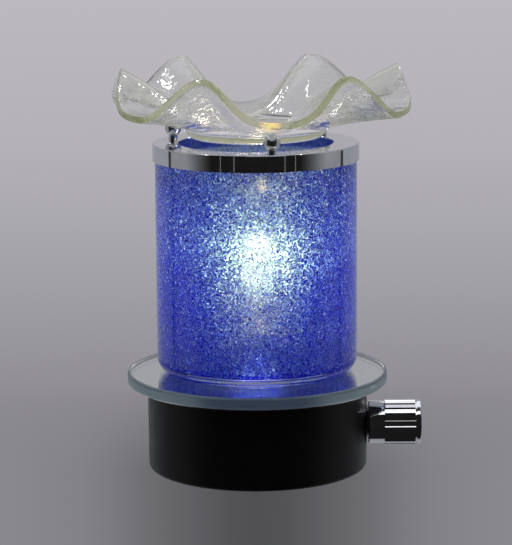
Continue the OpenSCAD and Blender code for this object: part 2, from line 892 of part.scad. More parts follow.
// From the lampholder's contacts down to the board's edge
module lamp_leads() {
    top_z = holder_foot - contact_tail - lead_gap;
    board_z = board_top + lead_gap;
    color("#e8e4da") on_axis() for (side = [-1, 1]) tube([
        [side * pin_pitch / 2, 0, top_z],
        [side * pin_pitch / 2, 0, mix3(top_z, board_z, 0.3)],
        [side * pin_pitch / 2, -lead_r * 3, mix3(top_z, board_z, 0.6)],
        [side * pin_pitch / 2, -lead_r * 4, mix3(top_z, board_z, 0.85)],
        [side * pin_pitch / 2, -lead_r * 4, board_z]], lead_r);
}

// From the brushes' tails down to the board
module supply_leads() {
    start_y = block_back - brush_tail - lead_gap;
    board_z = board_top + lead_gap;
    end_y = -axis_gap + board_half_w - 2 * lead_r;
    color("#2a2a2c") for (x = [inner_contact_r - contact_w / 2, -outer_contact_r + contact_w / 2]) tube([
        [x, start_y, 0],
        [x, mix3(start_y, end_y, 0.35), 0],
        [x, mix3(start_y, end_y, 0.8), board_z * 0.25],
        [x, end_y, board_z * 0.65],
        [x, end_y, board_z]], lead_r);
}

// Reflector lamp

module bulb_base() {
    color("#e9e4d6") on_axis() translate([0, 0, holder_top]) rotate_extrude() polygon([
        [0, 0], [bulb_seat_r - body_lift, 0], [bulb_seat_r, body_lift],
        [bulb_seat_r, bulb_base_h * 0.6], [bulb_neck_r, bulb_base_h], [0, bulb_base_h]]);
}

module bulb_pins() {
    color("silver") on_axis() for (side = [-1, 1]) translate([side * pin_pitch / 2, 0, holder_top]) {
        translate([0, 0, -pin_l]) cylinder(h = pin_l, r = pin_r);
        translate([0, 0, -pin_l - pin_head_l]) cylinder(h = pin_head_l, r = pin_head_r);
    }
}

// Outside radius of the reflector at a share of its height
function reflector_r(s) = bulb_neck_r + (bulb_r - bulb_neck_r) * pow(s, bulb_curve_share);

module bulb_reflector() {
    bowl_h = bulb_h - bulb_base_h - bulb_rim_h;
    steps = 8;
    outline = concat(
        [for (i = [0:steps]) [reflector_r(i / steps), bowl_h * i / steps]],
        [[bulb_r, bowl_h + bulb_rim_h], [bulb_r - bulb_wall, bowl_h + bulb_rim_h]],
        [for (i = [steps:-1:0]) [reflector_r(i / steps) - bulb_wall, bowl_h * i / steps]]);
    color("#dfe3e6", 0.6) on_axis() translate([0, 0, holder_top + bulb_base_h])
        rotate_extrude() polygon(outline);
}

module bulb_lens() {
    color("#eef3f5", 0.5) on_axis() translate([0, 0, holder_top + bulb_h - lens_recess - lens_t])
        cylinder(h = lens_t, r = bulb_r - bulb_wall - run_gap);
}

module bulb_capsule() {
    color("#fff6dc", 0.7) on_axis() translate([0, 0, holder_top + bulb_base_h]) rotate_extrude()
        polygon(concat([[0, 0], [capsule_r, 0]],
            arc(0, capsule_h - capsule_r, capsule_r, 0, 90)));
}

// Glass shade with its lining, ring and balls

module shade_glass() {
    r = shade_r;
    in_r = shade_r - shade_wall;
    lip = shade_wall / 4;
    in_corner = max(shade_corner_r - shade_wall, 2 * lining_t);
    color("#a9c4ee", 0.35) on_axis() translate([0, 0, mirror_top]) rotate_extrude() polygon(concat(
        [[shade_hole_r, 0]],
        arc(r - shade_corner_r, shade_corner_r, shade_corner_r, -90, 0),
        arc(r - lip, shade_h - lip, lip, 0, 90, lip_steps),
        arc(in_r + lip, shade_h - lip, lip, 90, 180, lip_steps),
        arc(in_r - in_corner, shade_floor_t + in_corner, in_corner, 0, -90),
        [[shade_hole_r, shade_floor_t]]));
}

module glitter_lining() {
    in_r = shade_r - shade_wall;
    in_corner = max(shade_corner_r - shade_wall, 2 * lining_t);
    top = shade_h - shade_wall / 4;
    color("#2233c8") on_axis() translate([0, 0, mirror_top]) rotate_extrude() polygon(concat(
        [[shade_hole_r, shade_floor_t]],
        arc(in_r - in_corner, shade_floor_t + in_corner, in_corner, -90, 0),
        [[in_r, top], [in_r - lining_t, top]],
        arc(in_r - in_corner, shade_floor_t + in_corner, in_corner - lining_t, 0, -90),
        [[shade_hole_r, shade_floor_t + lining_t]]));
}

module post_places() round_axis(posts, post_r, post_angle - 90) children();

module top_ring() {
    color("#cfd2d6") on_axis() difference() {
        rotate_extrude() polygon(concat(
            [[mouth_r, ring_top - ring_t]],
            arc(mouth_r + ring_edge_r / 2, ring_top - ring_edge_r / 2, ring_edge_r / 2, 180, 90, lip_steps),
            arc(ring_r - ring_edge_r, ring_top - ring_edge_r, ring_edge_r, 90, 0),
            [[ring_r, ring_top - ring_h], [ring_in_r, ring_top - ring_h], [ring_in_r, ring_top - ring_t]]));
        post_places() translate([0, 0, ring_top - ring_t - over])
            cylinder(h = ring_t + 2 * over, r = shank_r + run_gap);
    }
}

module ball_posts() {
    color("#e2e4e8") on_axis() post_places() translate([0, 0, ring_top]) {
        translate([0, 0, ball_rise]) sphere(r = ball_r);
        cylinder(h = ball_rise, r = collar_neck_r);
        translate([0, 0, -ring_t]) cylinder(h = ring_t, r = shank_r);
        translate([0, 0, -ring_t - tail_h]) cylinder(h = tail_h, r = tail_r);
    }
}

// Fluted dish. Its outside is a surface over the angle and a profile value v:
// 0 to 1 runs across the bowed foot, 1 to 1.5 round its edge, 1.5 to 2 up the short wall
// and 2 to 3 out along the flare to the rim.

function wave(a) = waves * (a - dish_angle);
function flare_r(a) = rim_r + rim_breath * cos(wave(a)) - rim_swell * cos(2 * wave(a));
function flare_h(a) = rim_h - wave_h * cos(wave(a)) + crest_lift * cos(2 * wave(a))
    - back_dip * back_share(a);

// 1 at the middle of the back trough, falling to 0 at the crests beside it
function back_share(a) =
    cos(a - dish_angle - 180) < cos(180 / waves) ? 0 : (1 + cos(wave(a))) / 2;

function profile(a, v) =
    v <= 1 ? [v * (foot_r - foot_edge_r * (1 - sin(foot_slope))), foot_bow * v * v]
    : v <= 1.5 ? let (t = foot_slope + (v - 1) * 2 * (90 - foot_slope))
        [foot_r - foot_edge_r * (1 - sin(t)), foot_edge_h - foot_edge_r * cos(t)]
    : v <= 2 ? let (t = (v - 1.5) * 2)
        [foot_r + dish_wall_lean * t, foot_edge_h + dish_wall_rise * t]
    : let (q = v - 2) [dish_wall_r + (flare_r(a) - dish_wall_r) * q * q,
        dish_wall_h + (flare_h(a) - dish_wall_h) * pow(q, flare_power)];

// The angle is counted from the front, turning towards +X
function skin(a, v) = let (p = profile(a, v), lean = rim_lean * pow(max(v - 2, 0), 3))
    [p[0] * sin(a) + lean, -p[0] * cos(a), p[1]];

function inward(a, v) =
    unit(cross(skin(a, v + probe) - skin(a, v - probe), skin(a + 1, v) - skin(a - 1, v)));

function inner_skin(a, v) = skin(a, v) + dish_t * inward(a, v);

// A point on the half-round nose of the rim, from the outside at 0 to the inside at 180
function nose(a, t) = let (p = skin(a, 3 - probe), n = inward(a, 3 - probe),
        out = unit(skin(a, 3) - skin(a, 3 - 8 * probe)))
    p + n * dish_t / 2 * (1 - cos(t)) + out * dish_t / 2 * sin(t);

module glass_dish() {
    stations = concat([0.4, 0.7, 1, 1.17, 1.33, 1.5, 2], [for (i = [1:flare_rings - 1]) 2 + i / flare_rings]);
    noses = [0, 45, 90, 135, 180];
    m = len(stations);
    turns = [for (i = [0:dish_turns - 1]) i * 360 / dish_turns];
    rings = concat(
        [for (v = stations) [for (a = turns) skin(a, v)]],
        [for (t = noses) [for (a = turns) nose(a, t)]],
        [for (i = [m - 1:-1:0]) [for (a = turns) inner_skin(a, stations[i])]]);
    count = len(rings);
    last = count * dish_turns;
    points = concat([for (ring = rings) for (p = ring) p], [[0, 0, 0], [0, 0, dish_t]]);
    faces = concat(
        [for (k = [0:dish_turns - 1]) [last, k, (k + 1) % dish_turns]],
        [for (i = [0:count - 2], k = [0:dish_turns - 1], half = [0, 1])
            let (a = i * dish_turns + k, b = i * dish_turns + (k + 1) % dish_turns, c = a + dish_turns,
                d = b + dish_turns)
            half == 0 ? [a, c, b] : [b, c, d]],
        [for (k = [0:dish_turns - 1])
            [last + 1, (count - 1) * dish_turns + (k + 1) % dish_turns, (count - 1) * dish_turns + k]]);
    color("#dfeee4", 0.35) on_axis() translate([0, 0, dish_foot_z])
        polyhedron(points = points, faces = faces, convexity = 10);
}

housing();
bottom_cover();
cover_screws();
mirror_pad();
mirror_backing();
mirror_disc();
clamp_collar();
collar_screws();
lampholder();
holder_base();
socket_contacts();
holder_bracket();
holder_screws();
bracket_screws();
circuit_board();
board_screws();
choke();
capacitor();
triac();
resistors();
fuse();
dimmer_case();
dimmer_pins();
dimmer_bush();
dimmer_washer();
dimmer_nut();
brush_block();
brushes();
lamp_leads();
supply_leads();
plug_turret();
plug_blades();
slip_rings();
turret_keeper();
keeper_screws();
dimmer_shaft();
knob_insert();
dimmer_knob();
bulb_base();
bulb_pins();
bulb_reflector();
bulb_lens();
bulb_capsule();
shade_glass();
glitter_lining();
top_ring();
ball_posts();
glass_dish();
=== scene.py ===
# %% [markdown]
# # Electric oil warmer
# A lamp in a glitter-lined glass shade warms scented oil in a fluted glass dish. The solid model of the
# warmer comes in as a fixed frame. This lesson gives each part its finish, rebuilds the parts whose
# surface needs more than the solid has, and sets up a plain studio round them.

# %% Load the frame
import json
import math

import bmesh
import bpy
from mathutils import Matrix, Vector

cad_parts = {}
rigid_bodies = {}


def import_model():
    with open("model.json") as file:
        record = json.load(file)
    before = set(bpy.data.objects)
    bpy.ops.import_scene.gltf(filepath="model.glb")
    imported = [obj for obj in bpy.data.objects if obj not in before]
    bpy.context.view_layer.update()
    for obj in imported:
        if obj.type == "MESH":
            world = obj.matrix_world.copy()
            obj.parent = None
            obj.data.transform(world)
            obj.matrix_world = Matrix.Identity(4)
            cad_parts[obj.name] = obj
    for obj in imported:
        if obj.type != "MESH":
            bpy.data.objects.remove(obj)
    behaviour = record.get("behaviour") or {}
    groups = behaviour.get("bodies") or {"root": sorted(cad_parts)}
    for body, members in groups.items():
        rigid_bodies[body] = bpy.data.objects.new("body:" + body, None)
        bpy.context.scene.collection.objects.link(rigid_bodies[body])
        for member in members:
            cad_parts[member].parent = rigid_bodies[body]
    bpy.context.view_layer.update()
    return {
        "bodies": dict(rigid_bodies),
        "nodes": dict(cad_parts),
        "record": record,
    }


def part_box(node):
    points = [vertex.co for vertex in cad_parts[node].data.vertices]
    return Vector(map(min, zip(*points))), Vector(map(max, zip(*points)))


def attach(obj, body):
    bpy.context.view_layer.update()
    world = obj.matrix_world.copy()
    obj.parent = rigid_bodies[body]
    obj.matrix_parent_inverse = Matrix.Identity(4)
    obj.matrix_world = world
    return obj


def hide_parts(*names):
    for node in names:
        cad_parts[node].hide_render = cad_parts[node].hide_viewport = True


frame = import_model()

MM = 0.001

# %% [markdown]
# ## Helpers for colours and nodes
# Paint is chosen on a screen as an sRGB hex code, but the renderer adds up light in linear numbers, so
# one function turns the first into the second. The other adds any node to any tree. Giving it the output
# socket of one node as the input of the next is what links them. Only a colour ramp has something that is
# neither a property nor an input: its stops, which come as pairs of a position and a hex code.

# %% Colour and node helpers
def hex_linear(code):
    """The linear RGBA colour of an sRGB hex code such as #1a2b3c."""
    channels = [int(code[i:i + 2], 16) / 255 for i in (1, 3, 5)]
    linear = [c / 12.92 if c <= 0.04045 else ((c + 0.055) / 1.055) ** 2.4 for c in channels]
    return linear + [1.0]


def add_node(tree, kind, settings=None, inputs=None, out=0, stops=()):
    """Adds a node, sets its properties, fills or links its inputs, and returns one of its outputs."""
    node = tree.nodes.new(kind)
    for name, value in (settings or {}).items():
        setattr(node, name, value)
    for name, value in (inputs or {}).items():
        if isinstance(value, bpy.types.NodeSocket):
            tree.links.new(value, node.inputs[name])
        else:
            node.inputs[name].default_value = value
    if stops:
        elements = node.color_ramp.elements
        while len(elements) < len(stops):
            elements.new(1.0)
        for element, (position, code) in zip(elements, stops):
            element.position = position
            element.color = hex_linear(code)
    return node.outputs[out] if node.outputs else node


def new_material(name):
    """An empty material and its node tree."""
    material = bpy.data.materials.new(name)
    material.use_nodes = True
    material.node_tree.nodes.clear()
    return material, material.node_tree


def show(tree, shader, volume=None):
    """Connects a shader, and a volume where there is one, to the material's output."""
    inputs = {"Surface": shader}
    if volume is not None:
        inputs["Volume"] = volume
    add_node(tree, "ShaderNodeOutputMaterial", None, inputs)


print("helpers ready, mid grey is", round(hex_linear("#808080")[0], 3), "in linear light")

# %% [markdown]
# ## Camera
# A camera is a place, a direction and a lens. The warmer is seen from a metre in front of its lamp and a
# little above, through a long lens, so that its rings are flat ellipses. A camera can be moved by eye
# until the view looks right, but the flatness of those ellipses gives its height and tilt as numbers,
# which are surer. The picture is 512 by 545 pixels, and Blender's lens is measured against the longer
# side.

# %% Place the camera
PICTURE_W, PICTURE_H = 512, 545
CAMERA_AT = (0.0, -1.01973, 0.24054)
CAMERA_PITCH, CAMERA_ROLL = 0.1842, -0.0069  # radians, the first below the level
FOCAL_PIXELS = 2372.7
CENTRE_X = 256.61
SENSOR = 36.0

camera_data = bpy.data.cameras.new("camera")
camera_data.sensor_width = SENSOR
camera_data.lens = FOCAL_PIXELS * SENSOR / PICTURE_H
camera_data.shift_x = (PICTURE_W / 2 - CENTRE_X) / PICTURE_H
camera = bpy.data.objects.new("camera", camera_data)
camera.matrix_world = (Matrix.Translation(CAMERA_AT)
                       @ Matrix.Rotation(math.radians(90) - CAMERA_PITCH, 4, "X")
                       @ Matrix.Rotation(CAMERA_ROLL, 4, "Z"))
bpy.context.scene.collection.objects.link(camera)
bpy.context.scene.camera = camera
bpy.context.scene.view_settings.view_transform = "Standard"
print("lens", round(camera_data.lens, 1), "mm")

# %% [markdown]
# ## Sizes
# The looks need a few places, such as the lamp's axis. They could be typed in, but would be wrong as soon
# as the solid model changed, so they are read from the frame.

# %% Read sizes from the frame
_, mirror_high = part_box("mirror_disc")
shade_low, shade_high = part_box("shade_glass")
dish_low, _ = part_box("glass_dish")
_, lamp_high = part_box("bulb_lens")
AXIS = Vector(((shade_low.x + shade_high.x) / 2, (shade_low.y + shade_high.y) / 2, 0))
SHADE_MIDDLE = AXIS + Vector((0, 0, (shade_low.z + shade_high.z) / 2))
LAMP = Vector((AXIS.x, AXIS.y, lamp_high.z))
print("lamp axis", [round(v / MM, 2) for v in AXIS], "lamp face at", round(LAMP.z / MM, 1), "mm")

# %% [markdown]
# ## Studio
# Glass and chrome show the room more than themselves, so the room is designed. Its walls are all surfaces
# that go round the lamp's axis, so one function gives points on a ring and another joins the rings with
# faces. A wall that shows light without giving any is made of an emission that only some rays can see.

# %% Stage helpers
STAGE_TURNS = 96


def mesh_object(name, vertices, faces, material=None):
    """A new mesh object in the scene."""
    mesh = bpy.data.meshes.new(name)
    mesh.from_pydata([tuple(v) for v in vertices], [], faces)
    made = bpy.data.objects.new(name, mesh)
    bpy.context.scene.collection.objects.link(made)
    if material:
        mesh.materials.append(material)
    return made


def only_seen_by(obj, *rays):
    """Hides a stage object from every kind of ray but the named ones."""
    for ray in ("camera", "diffuse", "glossy", "transmission", "volume_scatter", "shadow"):
        setattr(obj, "visible_" + ray, ray in rays)


def ring_points(radius, z, first=0.0, last=360.0, count=STAGE_TURNS):
    """Points round the lamp's axis, with the angle counted from the front towards +X."""
    angles = [math.radians(first + (last - first) * i / count) for i in range(count + 1)]
    return [Vector((AXIS.x + radius * math.sin(a), AXIS.y - radius * math.cos(a), z)) for a in angles]


def strip_faces(rows, columns):
    """Quads between rows of points."""
    return [(r * columns + c, r * columns + c + 1, (r + 1) * columns + c + 1, (r + 1) * columns + c)
            for r in range(rows - 1) for c in range(columns - 1)]


def object_axes(tree):
    """The X, Y and Z of the object coordinates."""
    coordinates = add_node(tree, "ShaderNodeTexCoord", None, None, "Object")
    return add_node(tree, "ShaderNodeSeparateXYZ", None, {"Vector": coordinates}).node.outputs


print("stage walls have", STAGE_TURNS, "steps round")

# %% [markdown]
# Behind and round the warmer is a pale grey sweep that darkens towards the floor. It gives off the grey
# that it shows and takes no part in lighting the warmer, which the world and the lamps do. The floor is a
# pale board.

# %% Sweep and floor
SWEEP_R, FLOOR_Z, SWEEP_TOP = 2.2, -0.75, 1.7
SWEEP_HEIGHTS = (FLOOR_Z, -0.4, 0.0, 0.6, SWEEP_TOP)
SWEEP_GREYS = [(0.018, "#88868c"), (0.053, "#87868b"), (0.092, "#8d8b91"), (0.165, "#a3a1a8"),
               (0.233, "#b3b1b7"), (0.31, "#bbb9be"), (0.5, "#b4b2b7"), (1.0, "#a9a8ad")]
# painted shade: a soft dark patch low in the middle of the sweep, behind and below the warmer
SHADE_PATCH_W, SHADE_PATCH_TOP, SHADE_PATCH_FULL = 0.34, -0.5, -0.62
SHADE_PATCH_GREYS = [(0.0, "#505053"), (0.12, "#545457"), (0.24, "#5e5e62"), (0.36, "#67676a"),
               (0.48, "#717175"), (0.6, "#7c7b80"), (0.72, "#838287"), (1.0, "#89888d")]
BOARD_PALE_R = 0.3
BOARD_GREYS = [(0.0, "#cfced2"), (1.0, "#5a5a5e")]


def sweep_paper():
    """Matt grey paper that gets lighter with height, and painted soft shade low down in the middle."""
    material, tree = new_material("grey_sweep")
    axes = object_axes(tree)
    height = add_node(tree, "ShaderNodeMapRange", None, {
        "Value": axes["Z"], "From Min": FLOOR_Z, "From Max": SWEEP_TOP})
    grey = add_node(tree, "ShaderNodeValToRGB", None, {"Fac": height}, "Color", SWEEP_GREYS)
    side = add_node(tree, "ShaderNodeMath", {"operation": "ABSOLUTE"}, {0: axes["X"]})
    across = add_node(tree, "ShaderNodeMapRange", None, {"Value": side, "From Max": SHADE_PATCH_W})
    painted_shade = add_node(tree, "ShaderNodeValToRGB", None, {"Fac": across}, "Color", SHADE_PATCH_GREYS)
    low = add_node(tree, "ShaderNodeMapRange", None, {
        "Value": axes["Z"], "From Min": SHADE_PATCH_TOP, "From Max": SHADE_PATCH_FULL})
    both = add_node(tree, "ShaderNodeMix", {"data_type": "RGBA"}, {
        "Factor": low, "A": grey, "B": painted_shade}, "Result")
    show(tree, add_node(tree, "ShaderNodeEmission", None, {"Color": both, "Strength": 1.0}))
    return material


def pale_board():
    """Matt painted board, darker far out where it meets the sweep."""
    material, tree = new_material("pale_board")
    axes = object_axes(tree)
    flat = add_node(tree, "ShaderNodeCombineXYZ", None, {"X": axes["X"], "Y": axes["Y"]})
    reach = add_node(tree, "ShaderNodeVectorMath", {"operation": "LENGTH"}, {0: flat}, "Value")
    outwards = add_node(tree, "ShaderNodeMapRange", None, {
        "Value": reach, "From Min": BOARD_PALE_R, "From Max": SWEEP_R})
    grey = add_node(tree, "ShaderNodeValToRGB", None, {"Fac": outwards}, "Color", BOARD_GREYS)
    show(tree, add_node(tree, "ShaderNodeBsdfDiffuse", None, {"Color": grey}))
    return material


def round_plate(name, radius, z, material):
    """A flat round plate about the lamp's axis."""
    middle = [Vector((AXIS.x, AXIS.y, z))] * (STAGE_TURNS + 1)
    return mesh_object(name, middle + ring_points(radius, z), strip_faces(2, STAGE_TURNS + 1), material)


sweep_points = [p for z in SWEEP_HEIGHTS for p in ring_points(SWEEP_R, z)]
sweep_faces = strip_faces(len(SWEEP_HEIGHTS), STAGE_TURNS + 1)
sweep = mesh_object("grey_sweep", sweep_points, sweep_faces, sweep_paper())
only_seen_by(sweep, "camera", "glossy", "transmission")
floor = round_plate("pale_floor", SWEEP_R, FLOOR_Z, pale_board())
print("sweep of", SWEEP_R, "m and floor at", FLOOR_Z, "m")

# %% [markdown]
# Chrome looks like chrome because of what it mirrors. A black flag curves round the front, where a
# photographer would stand in a dark room. It gets paler towards the sides, and one dark line near each
# side gives the ring a dark streak. Only mirror rays see the flag, and those that come out of glass pass
# it, so that the glass stays bright.

# %% Flag
FLAG_R = 1.6
FLAG_HALF_ANGLE = 165
FLAG_RISES = range(-84, 85, 12)  # degrees
UNDER_R, UNDER_Z = 1.3, -0.6
# each stop is at (1 - cos(angle from the front)) / 2, so the dark line at 0.645 stands at 107 degrees
FLAG_GREYS = [(0.165, "#1c1b1a"), (0.21, "#3c3c3b"), (0.27, "#5c5c5e"), (0.36, "#86868a"),
              (0.42, "#98989b"), (0.612, "#96969a"), (0.634, "#2c2c2c"), (0.656, "#2c2c2c"),
              (0.668, "#9fa1a6")]
INSIDE_GLASS = 0.5  # a ray's count of passes through glass is above this once it has been in glass


def flag_cloth():
    """Black cloth in front, a dim room at the sides and paler walls behind."""
    material, tree = new_material("black_flag")
    axes = object_axes(tree)
    level = add_node(tree, "ShaderNodeCombineXYZ", None, {"X": axes["X"], "Y": axes["Y"]})
    heading = add_node(tree, "ShaderNodeVectorMath", {"operation": "NORMALIZE"}, {0: level})
    behind = add_node(tree, "ShaderNodeSeparateXYZ", None, {"Vector": heading}).node.outputs["Y"]
    share = add_node(tree, "ShaderNodeMapRange", None, {"Value": behind, "From Min": -1.0})
    grey = add_node(tree, "ShaderNodeValToRGB", None, {"Fac": share}, "Color", FLAG_GREYS)
    cloth = add_node(tree, "ShaderNodeEmission", None, {"Color": grey, "Strength": 1.0})
    gone = add_node(tree, "ShaderNodeBsdfTransparent")
    passes = add_node(tree, "ShaderNodeLightPath", None, None, "Transmission Depth")
    inside = add_node(tree, "ShaderNodeMath", {"operation": "GREATER_THAN"}, {0: passes, 1: INSIDE_GLASS})
    show(tree, add_node(tree, "ShaderNodeMixShader", None, {0: inside, 1: cloth, 2: gone}))
    return material


flag_points = []
for rise in FLAG_RISES:
    out, up = FLAG_R * math.cos(math.radians(rise)), FLAG_R * math.sin(math.radians(rise))
    flag_points += ring_points(out, up, -FLAG_HALF_ANGLE, FLAG_HALF_ANGLE)
black_cloth = flag_cloth()
flag = mesh_object("black_flag", flag_points, strip_faces(len(FLAG_RISES), STAGE_TURNS + 1), black_cloth)
under = round_plate("dark_underneath", UNDER_R, UNDER_Z, black_cloth)
only_seen_by(flag, "glossy")
only_seen_by(under, "glossy")
print("stage: sweep, floor, flag and the dark underneath")

# %% [markdown]
# ## Lights
# A softbox is a rectangle of even light. Its strength in watts is spread over its area, so the watts are
# worked out from the brightness that its face should have: at 1 it looks white in a mirror. One wide box
# hangs behind and overhead and another in front above, and small bright ones all round give the glints.
# The wide ones are hidden from rays that come through glass, or the dish would turn white when it is seen
# from below.

# %% Softboxes
LIGHTS = {
    # name: degrees from the front towards +X, degrees up, distance, width and depth in metres, brightness
    "rear_softbox": (180, 57, 1.3, 1.6, 1.3, 0.75),
    "front_softbox": (0, 61, 1.3, 1.0, 0.4, 1.7),
    "left_kicker": (-140, 38, 1.4, 0.1, 0.1, 60.0),
    "right_kicker": (140, 38, 1.4, 0.1, 0.1, 60.0),
    "left_spark": (-62, 48, 1.4, 0.07, 0.07, 70.0),
    "right_spark": (58, 52, 1.4, 0.07, 0.07, 70.0),
    "far_left_spark": (-100, 62, 1.4, 0.06, 0.06, 70.0),
    "far_right_spark": (95, 66, 1.4, 0.06, 0.06, 70.0),
}
WIDE = 0.3


def softbox(name, round_angle, rise, distance, width, depth, brightness):
    """A rectangular light that faces the warmer."""
    data = bpy.data.lights.new(name, "AREA")
    data.shape = "RECTANGLE"
    data.size, data.size_y = width, depth
    data.energy = brightness * math.pi * width * depth
    light = bpy.data.objects.new(name, data)
    turn, lift = math.radians(round_angle), math.radians(rise)
    away = Vector((math.sin(turn) * math.cos(lift), -math.cos(turn) * math.cos(lift), math.sin(lift)))
    centre = Vector((AXIS.x, AXIS.y, mirror_high.z))
    light.matrix_world = (Matrix.Translation(centre + away * distance)
                          @ (-away).to_track_quat("-Z", "Y").to_matrix().to_4x4())
    bpy.context.scene.collection.objects.link(light)
    light.visible_camera = False
    light.visible_transmission = width < WIDE


for name, values in LIGHTS.items():
    softbox(name, *values)
print("softboxes:", ", ".join(LIGHTS))

# %% [markdown]
# Four thin stands give the ring its upright lines: a mirror needs something with an edge in front of it.
# The white air of the room fills the shadows evenly.

# %% Stands and air
STAND_R, STAND_W, STAND_TOP = 1.5, 0.012, 0.4
STAND_GREY = "#a4a4a6"
STAND_ANGLES = (-38.7, -23.6, 31.6, 43.4)
WORLD_GREY = 0.42

stand_metal, tree = new_material("stand_metal")
show(tree, add_node(tree, "ShaderNodeEmission", None, {"Color": hex_linear(STAND_GREY), "Strength": 1.0}))
half_angle = math.degrees(STAND_W / 2 / STAND_R)
for number, angle in enumerate(STAND_ANGLES):
    points = []
    for z in (FLOOR_Z, STAND_TOP):
        points += ring_points(STAND_R, z, angle - half_angle, angle + half_angle, 1)
    stand = mesh_object(f"stand_{number}", points, strip_faces(2, 2), stand_metal)
    only_seen_by(stand, "glossy")

world = bpy.data.worlds.new("studio_air")
bpy.context.scene.world = world
world.use_nodes = True
background = world.node_tree.nodes["Background"]
background.inputs["Color"].default_value = hex_linear("#ffffff")
background.inputs["Strength"].default_value = WORLD_GREY
print(len(STAND_ANGLES), "stands, and air of strength", WORLD_GREY)

# %% [markdown]
# ## Glass that lets lamps through
# A path tracer finds lamps with straight shadow rays, and real glass bends them, so a lamp behind glass
# would light nothing. The usual cure is to let only the shadow rays pass straight, with the glass's own
# small loss, while the eye still sees the bending glass. All the clear glasses here use it. Slumped and
# blown glass is never quite flat either, so each has long faint ripples, given in millimetres.

# %% Helpers for glass
def pass_lamps(tree, shader, tint):
    """The shader, but clear to shadow rays apart from a tint."""
    shadow = add_node(tree, "ShaderNodeLightPath", None, None, "Is Shadow Ray")
    clear = add_node(tree, "ShaderNodeBsdfTransparent", None, {"Color": hex_linear(tint)})
    return add_node(tree, "ShaderNodeMixShader", None, {0: shadow, 1: shader, 2: clear})


EVEN = (1.0, 1.0, 1.0)


def surface_noise(tree, size_mm, detail=3.0, stretch=EVEN):
    """Soft noise on the object's coordinates, whose lumps are about size_mm across."""
    coordinates = add_node(tree, "ShaderNodeTexCoord", None, None, "Object")
    scaled = add_node(tree, "ShaderNodeMapping", None, {"Vector": coordinates, "Scale": stretch})
    return add_node(tree, "ShaderNodeTexNoise", None, {
        "Vector": scaled, "Scale": 1 / (size_mm * MM), "Detail": detail}, "Fac")


print("helpers ready for glass and surface noise")

# %% [markdown]
# ## Light that stays in the glass
# Seen from its edge, a sheet of glass shows light that has bounced along inside it many times, a mix of
# the whole room. The renderer stops a path after a few mirror bounces and calls the rest black, and the
# rim of the dish and the edge of the mirror would go dark. So a path that gets that far ends in the mix,
# which is written down here: mottled pale grey at the dish's rim, whiter at its foot, warm where the foot
# catches the lamp and leads its light out at the front, and a dim blue-grey in the mirror's disc.

# %% Light inside the dish and the mirror
DEEP_BOUNCES = 4.5  # one for the way in, and the renderer allows four mirror bounces after it
MOTTLE_LOW, MOTTLE_HIGH = 0.35, 0.65
RIM_MOTTLE_MM = 7.0
RIM_GREYS = [(MOTTLE_LOW, "#a3a19e"), (MOTTLE_HIGH, "#cac9cd")]
FOOT_GREY = "#d0cbd2"
FOOT_LIGHT_R, RIM_LIGHT_R = 29.5 * MM, 35 * MM
FLATTENED = (1.0, 1.0, 0.0)
CAUGHT_AT = Vector((AXIS.x + 5 * MM, AXIS.y - 31 * MM, dish_low.z + 6 * MM))
CAUGHT_SIZE = (10 * MM, 15 * MM, 12 * MM)
CAUGHT_CORE = 0.15
CAUGHT_COLOUR = "#ffe0ac"
CAUGHT_BRIGHT = 1.9
MIRROR_MOTTLE_MM = 20.0
MIRROR_GREYS = [(MOTTLE_LOW, "#5e6778"), (MOTTLE_HIGH, "#6e7788")]


def caught_light(tree, place):
    """The lamp's warm light, brightest at one place in the foot and gone at the edge of an oval."""
    away = add_node(tree, "ShaderNodeVectorMath", {"operation": "SUBTRACT"}, {0: place, 1: CAUGHT_AT})
    scaled = add_node(tree, "ShaderNodeVectorMath", {"operation": "DIVIDE"}, {0: away, 1: CAUGHT_SIZE})
    reach = add_node(tree, "ShaderNodeVectorMath", {"operation": "LENGTH"}, {0: scaled}, "Value")
    bright = add_node(tree, "ShaderNodeMapRange", None, {
        "Value": reach, "From Min": 1.0, "From Max": CAUGHT_CORE, "To Max": CAUGHT_BRIGHT})
    return add_node(tree, "ShaderNodeVectorMath", {"operation": "SCALE"}, {
        0: hex_linear(CAUGHT_COLOUR)[:3], "Scale": bright})


def light_in_dish(tree):
    """Mottled grey at the rim, whiter at the foot, and warm where the foot catches the lamp."""
    mottle = surface_noise(tree, RIM_MOTTLE_MM, detail=1.0)
    rim = add_node(tree, "ShaderNodeValToRGB", None, {"Fac": mottle}, "Color", RIM_GREYS)
    place = add_node(tree, "ShaderNodeTexCoord", None, None, "Object")
    outward = add_node(tree, "ShaderNodeVectorMath", {"operation": "SUBTRACT"}, {0: place, 1: AXIS})
    level = add_node(tree, "ShaderNodeVectorMath", {"operation": "MULTIPLY"}, {
        0: outward, 1: FLATTENED})
    radius = add_node(tree, "ShaderNodeVectorMath", {"operation": "LENGTH"}, {0: level}, "Value")
    rimward = add_node(tree, "ShaderNodeMapRange", None, {
        "Value": radius, "From Min": FOOT_LIGHT_R, "From Max": RIM_LIGHT_R})
    room = add_node(tree, "ShaderNodeMix", {"data_type": "RGBA"}, {
        "Factor": rimward, "A": hex_linear(FOOT_GREY), "B": rim}, "Result")
    return add_node(tree, "ShaderNodeVectorMath", {"operation": "MAXIMUM"}, {
        0: room, 1: caught_light(tree, place)})


def light_in_mirror(tree):
    """Dim bluish light in the mirror's disc, between its silver and the shade."""
    mottle = surface_noise(tree, MIRROR_MOTTLE_MM, detail=1.0)
    return add_node(tree, "ShaderNodeValToRGB", None, {"Fac": mottle}, "Color", MIRROR_GREYS)


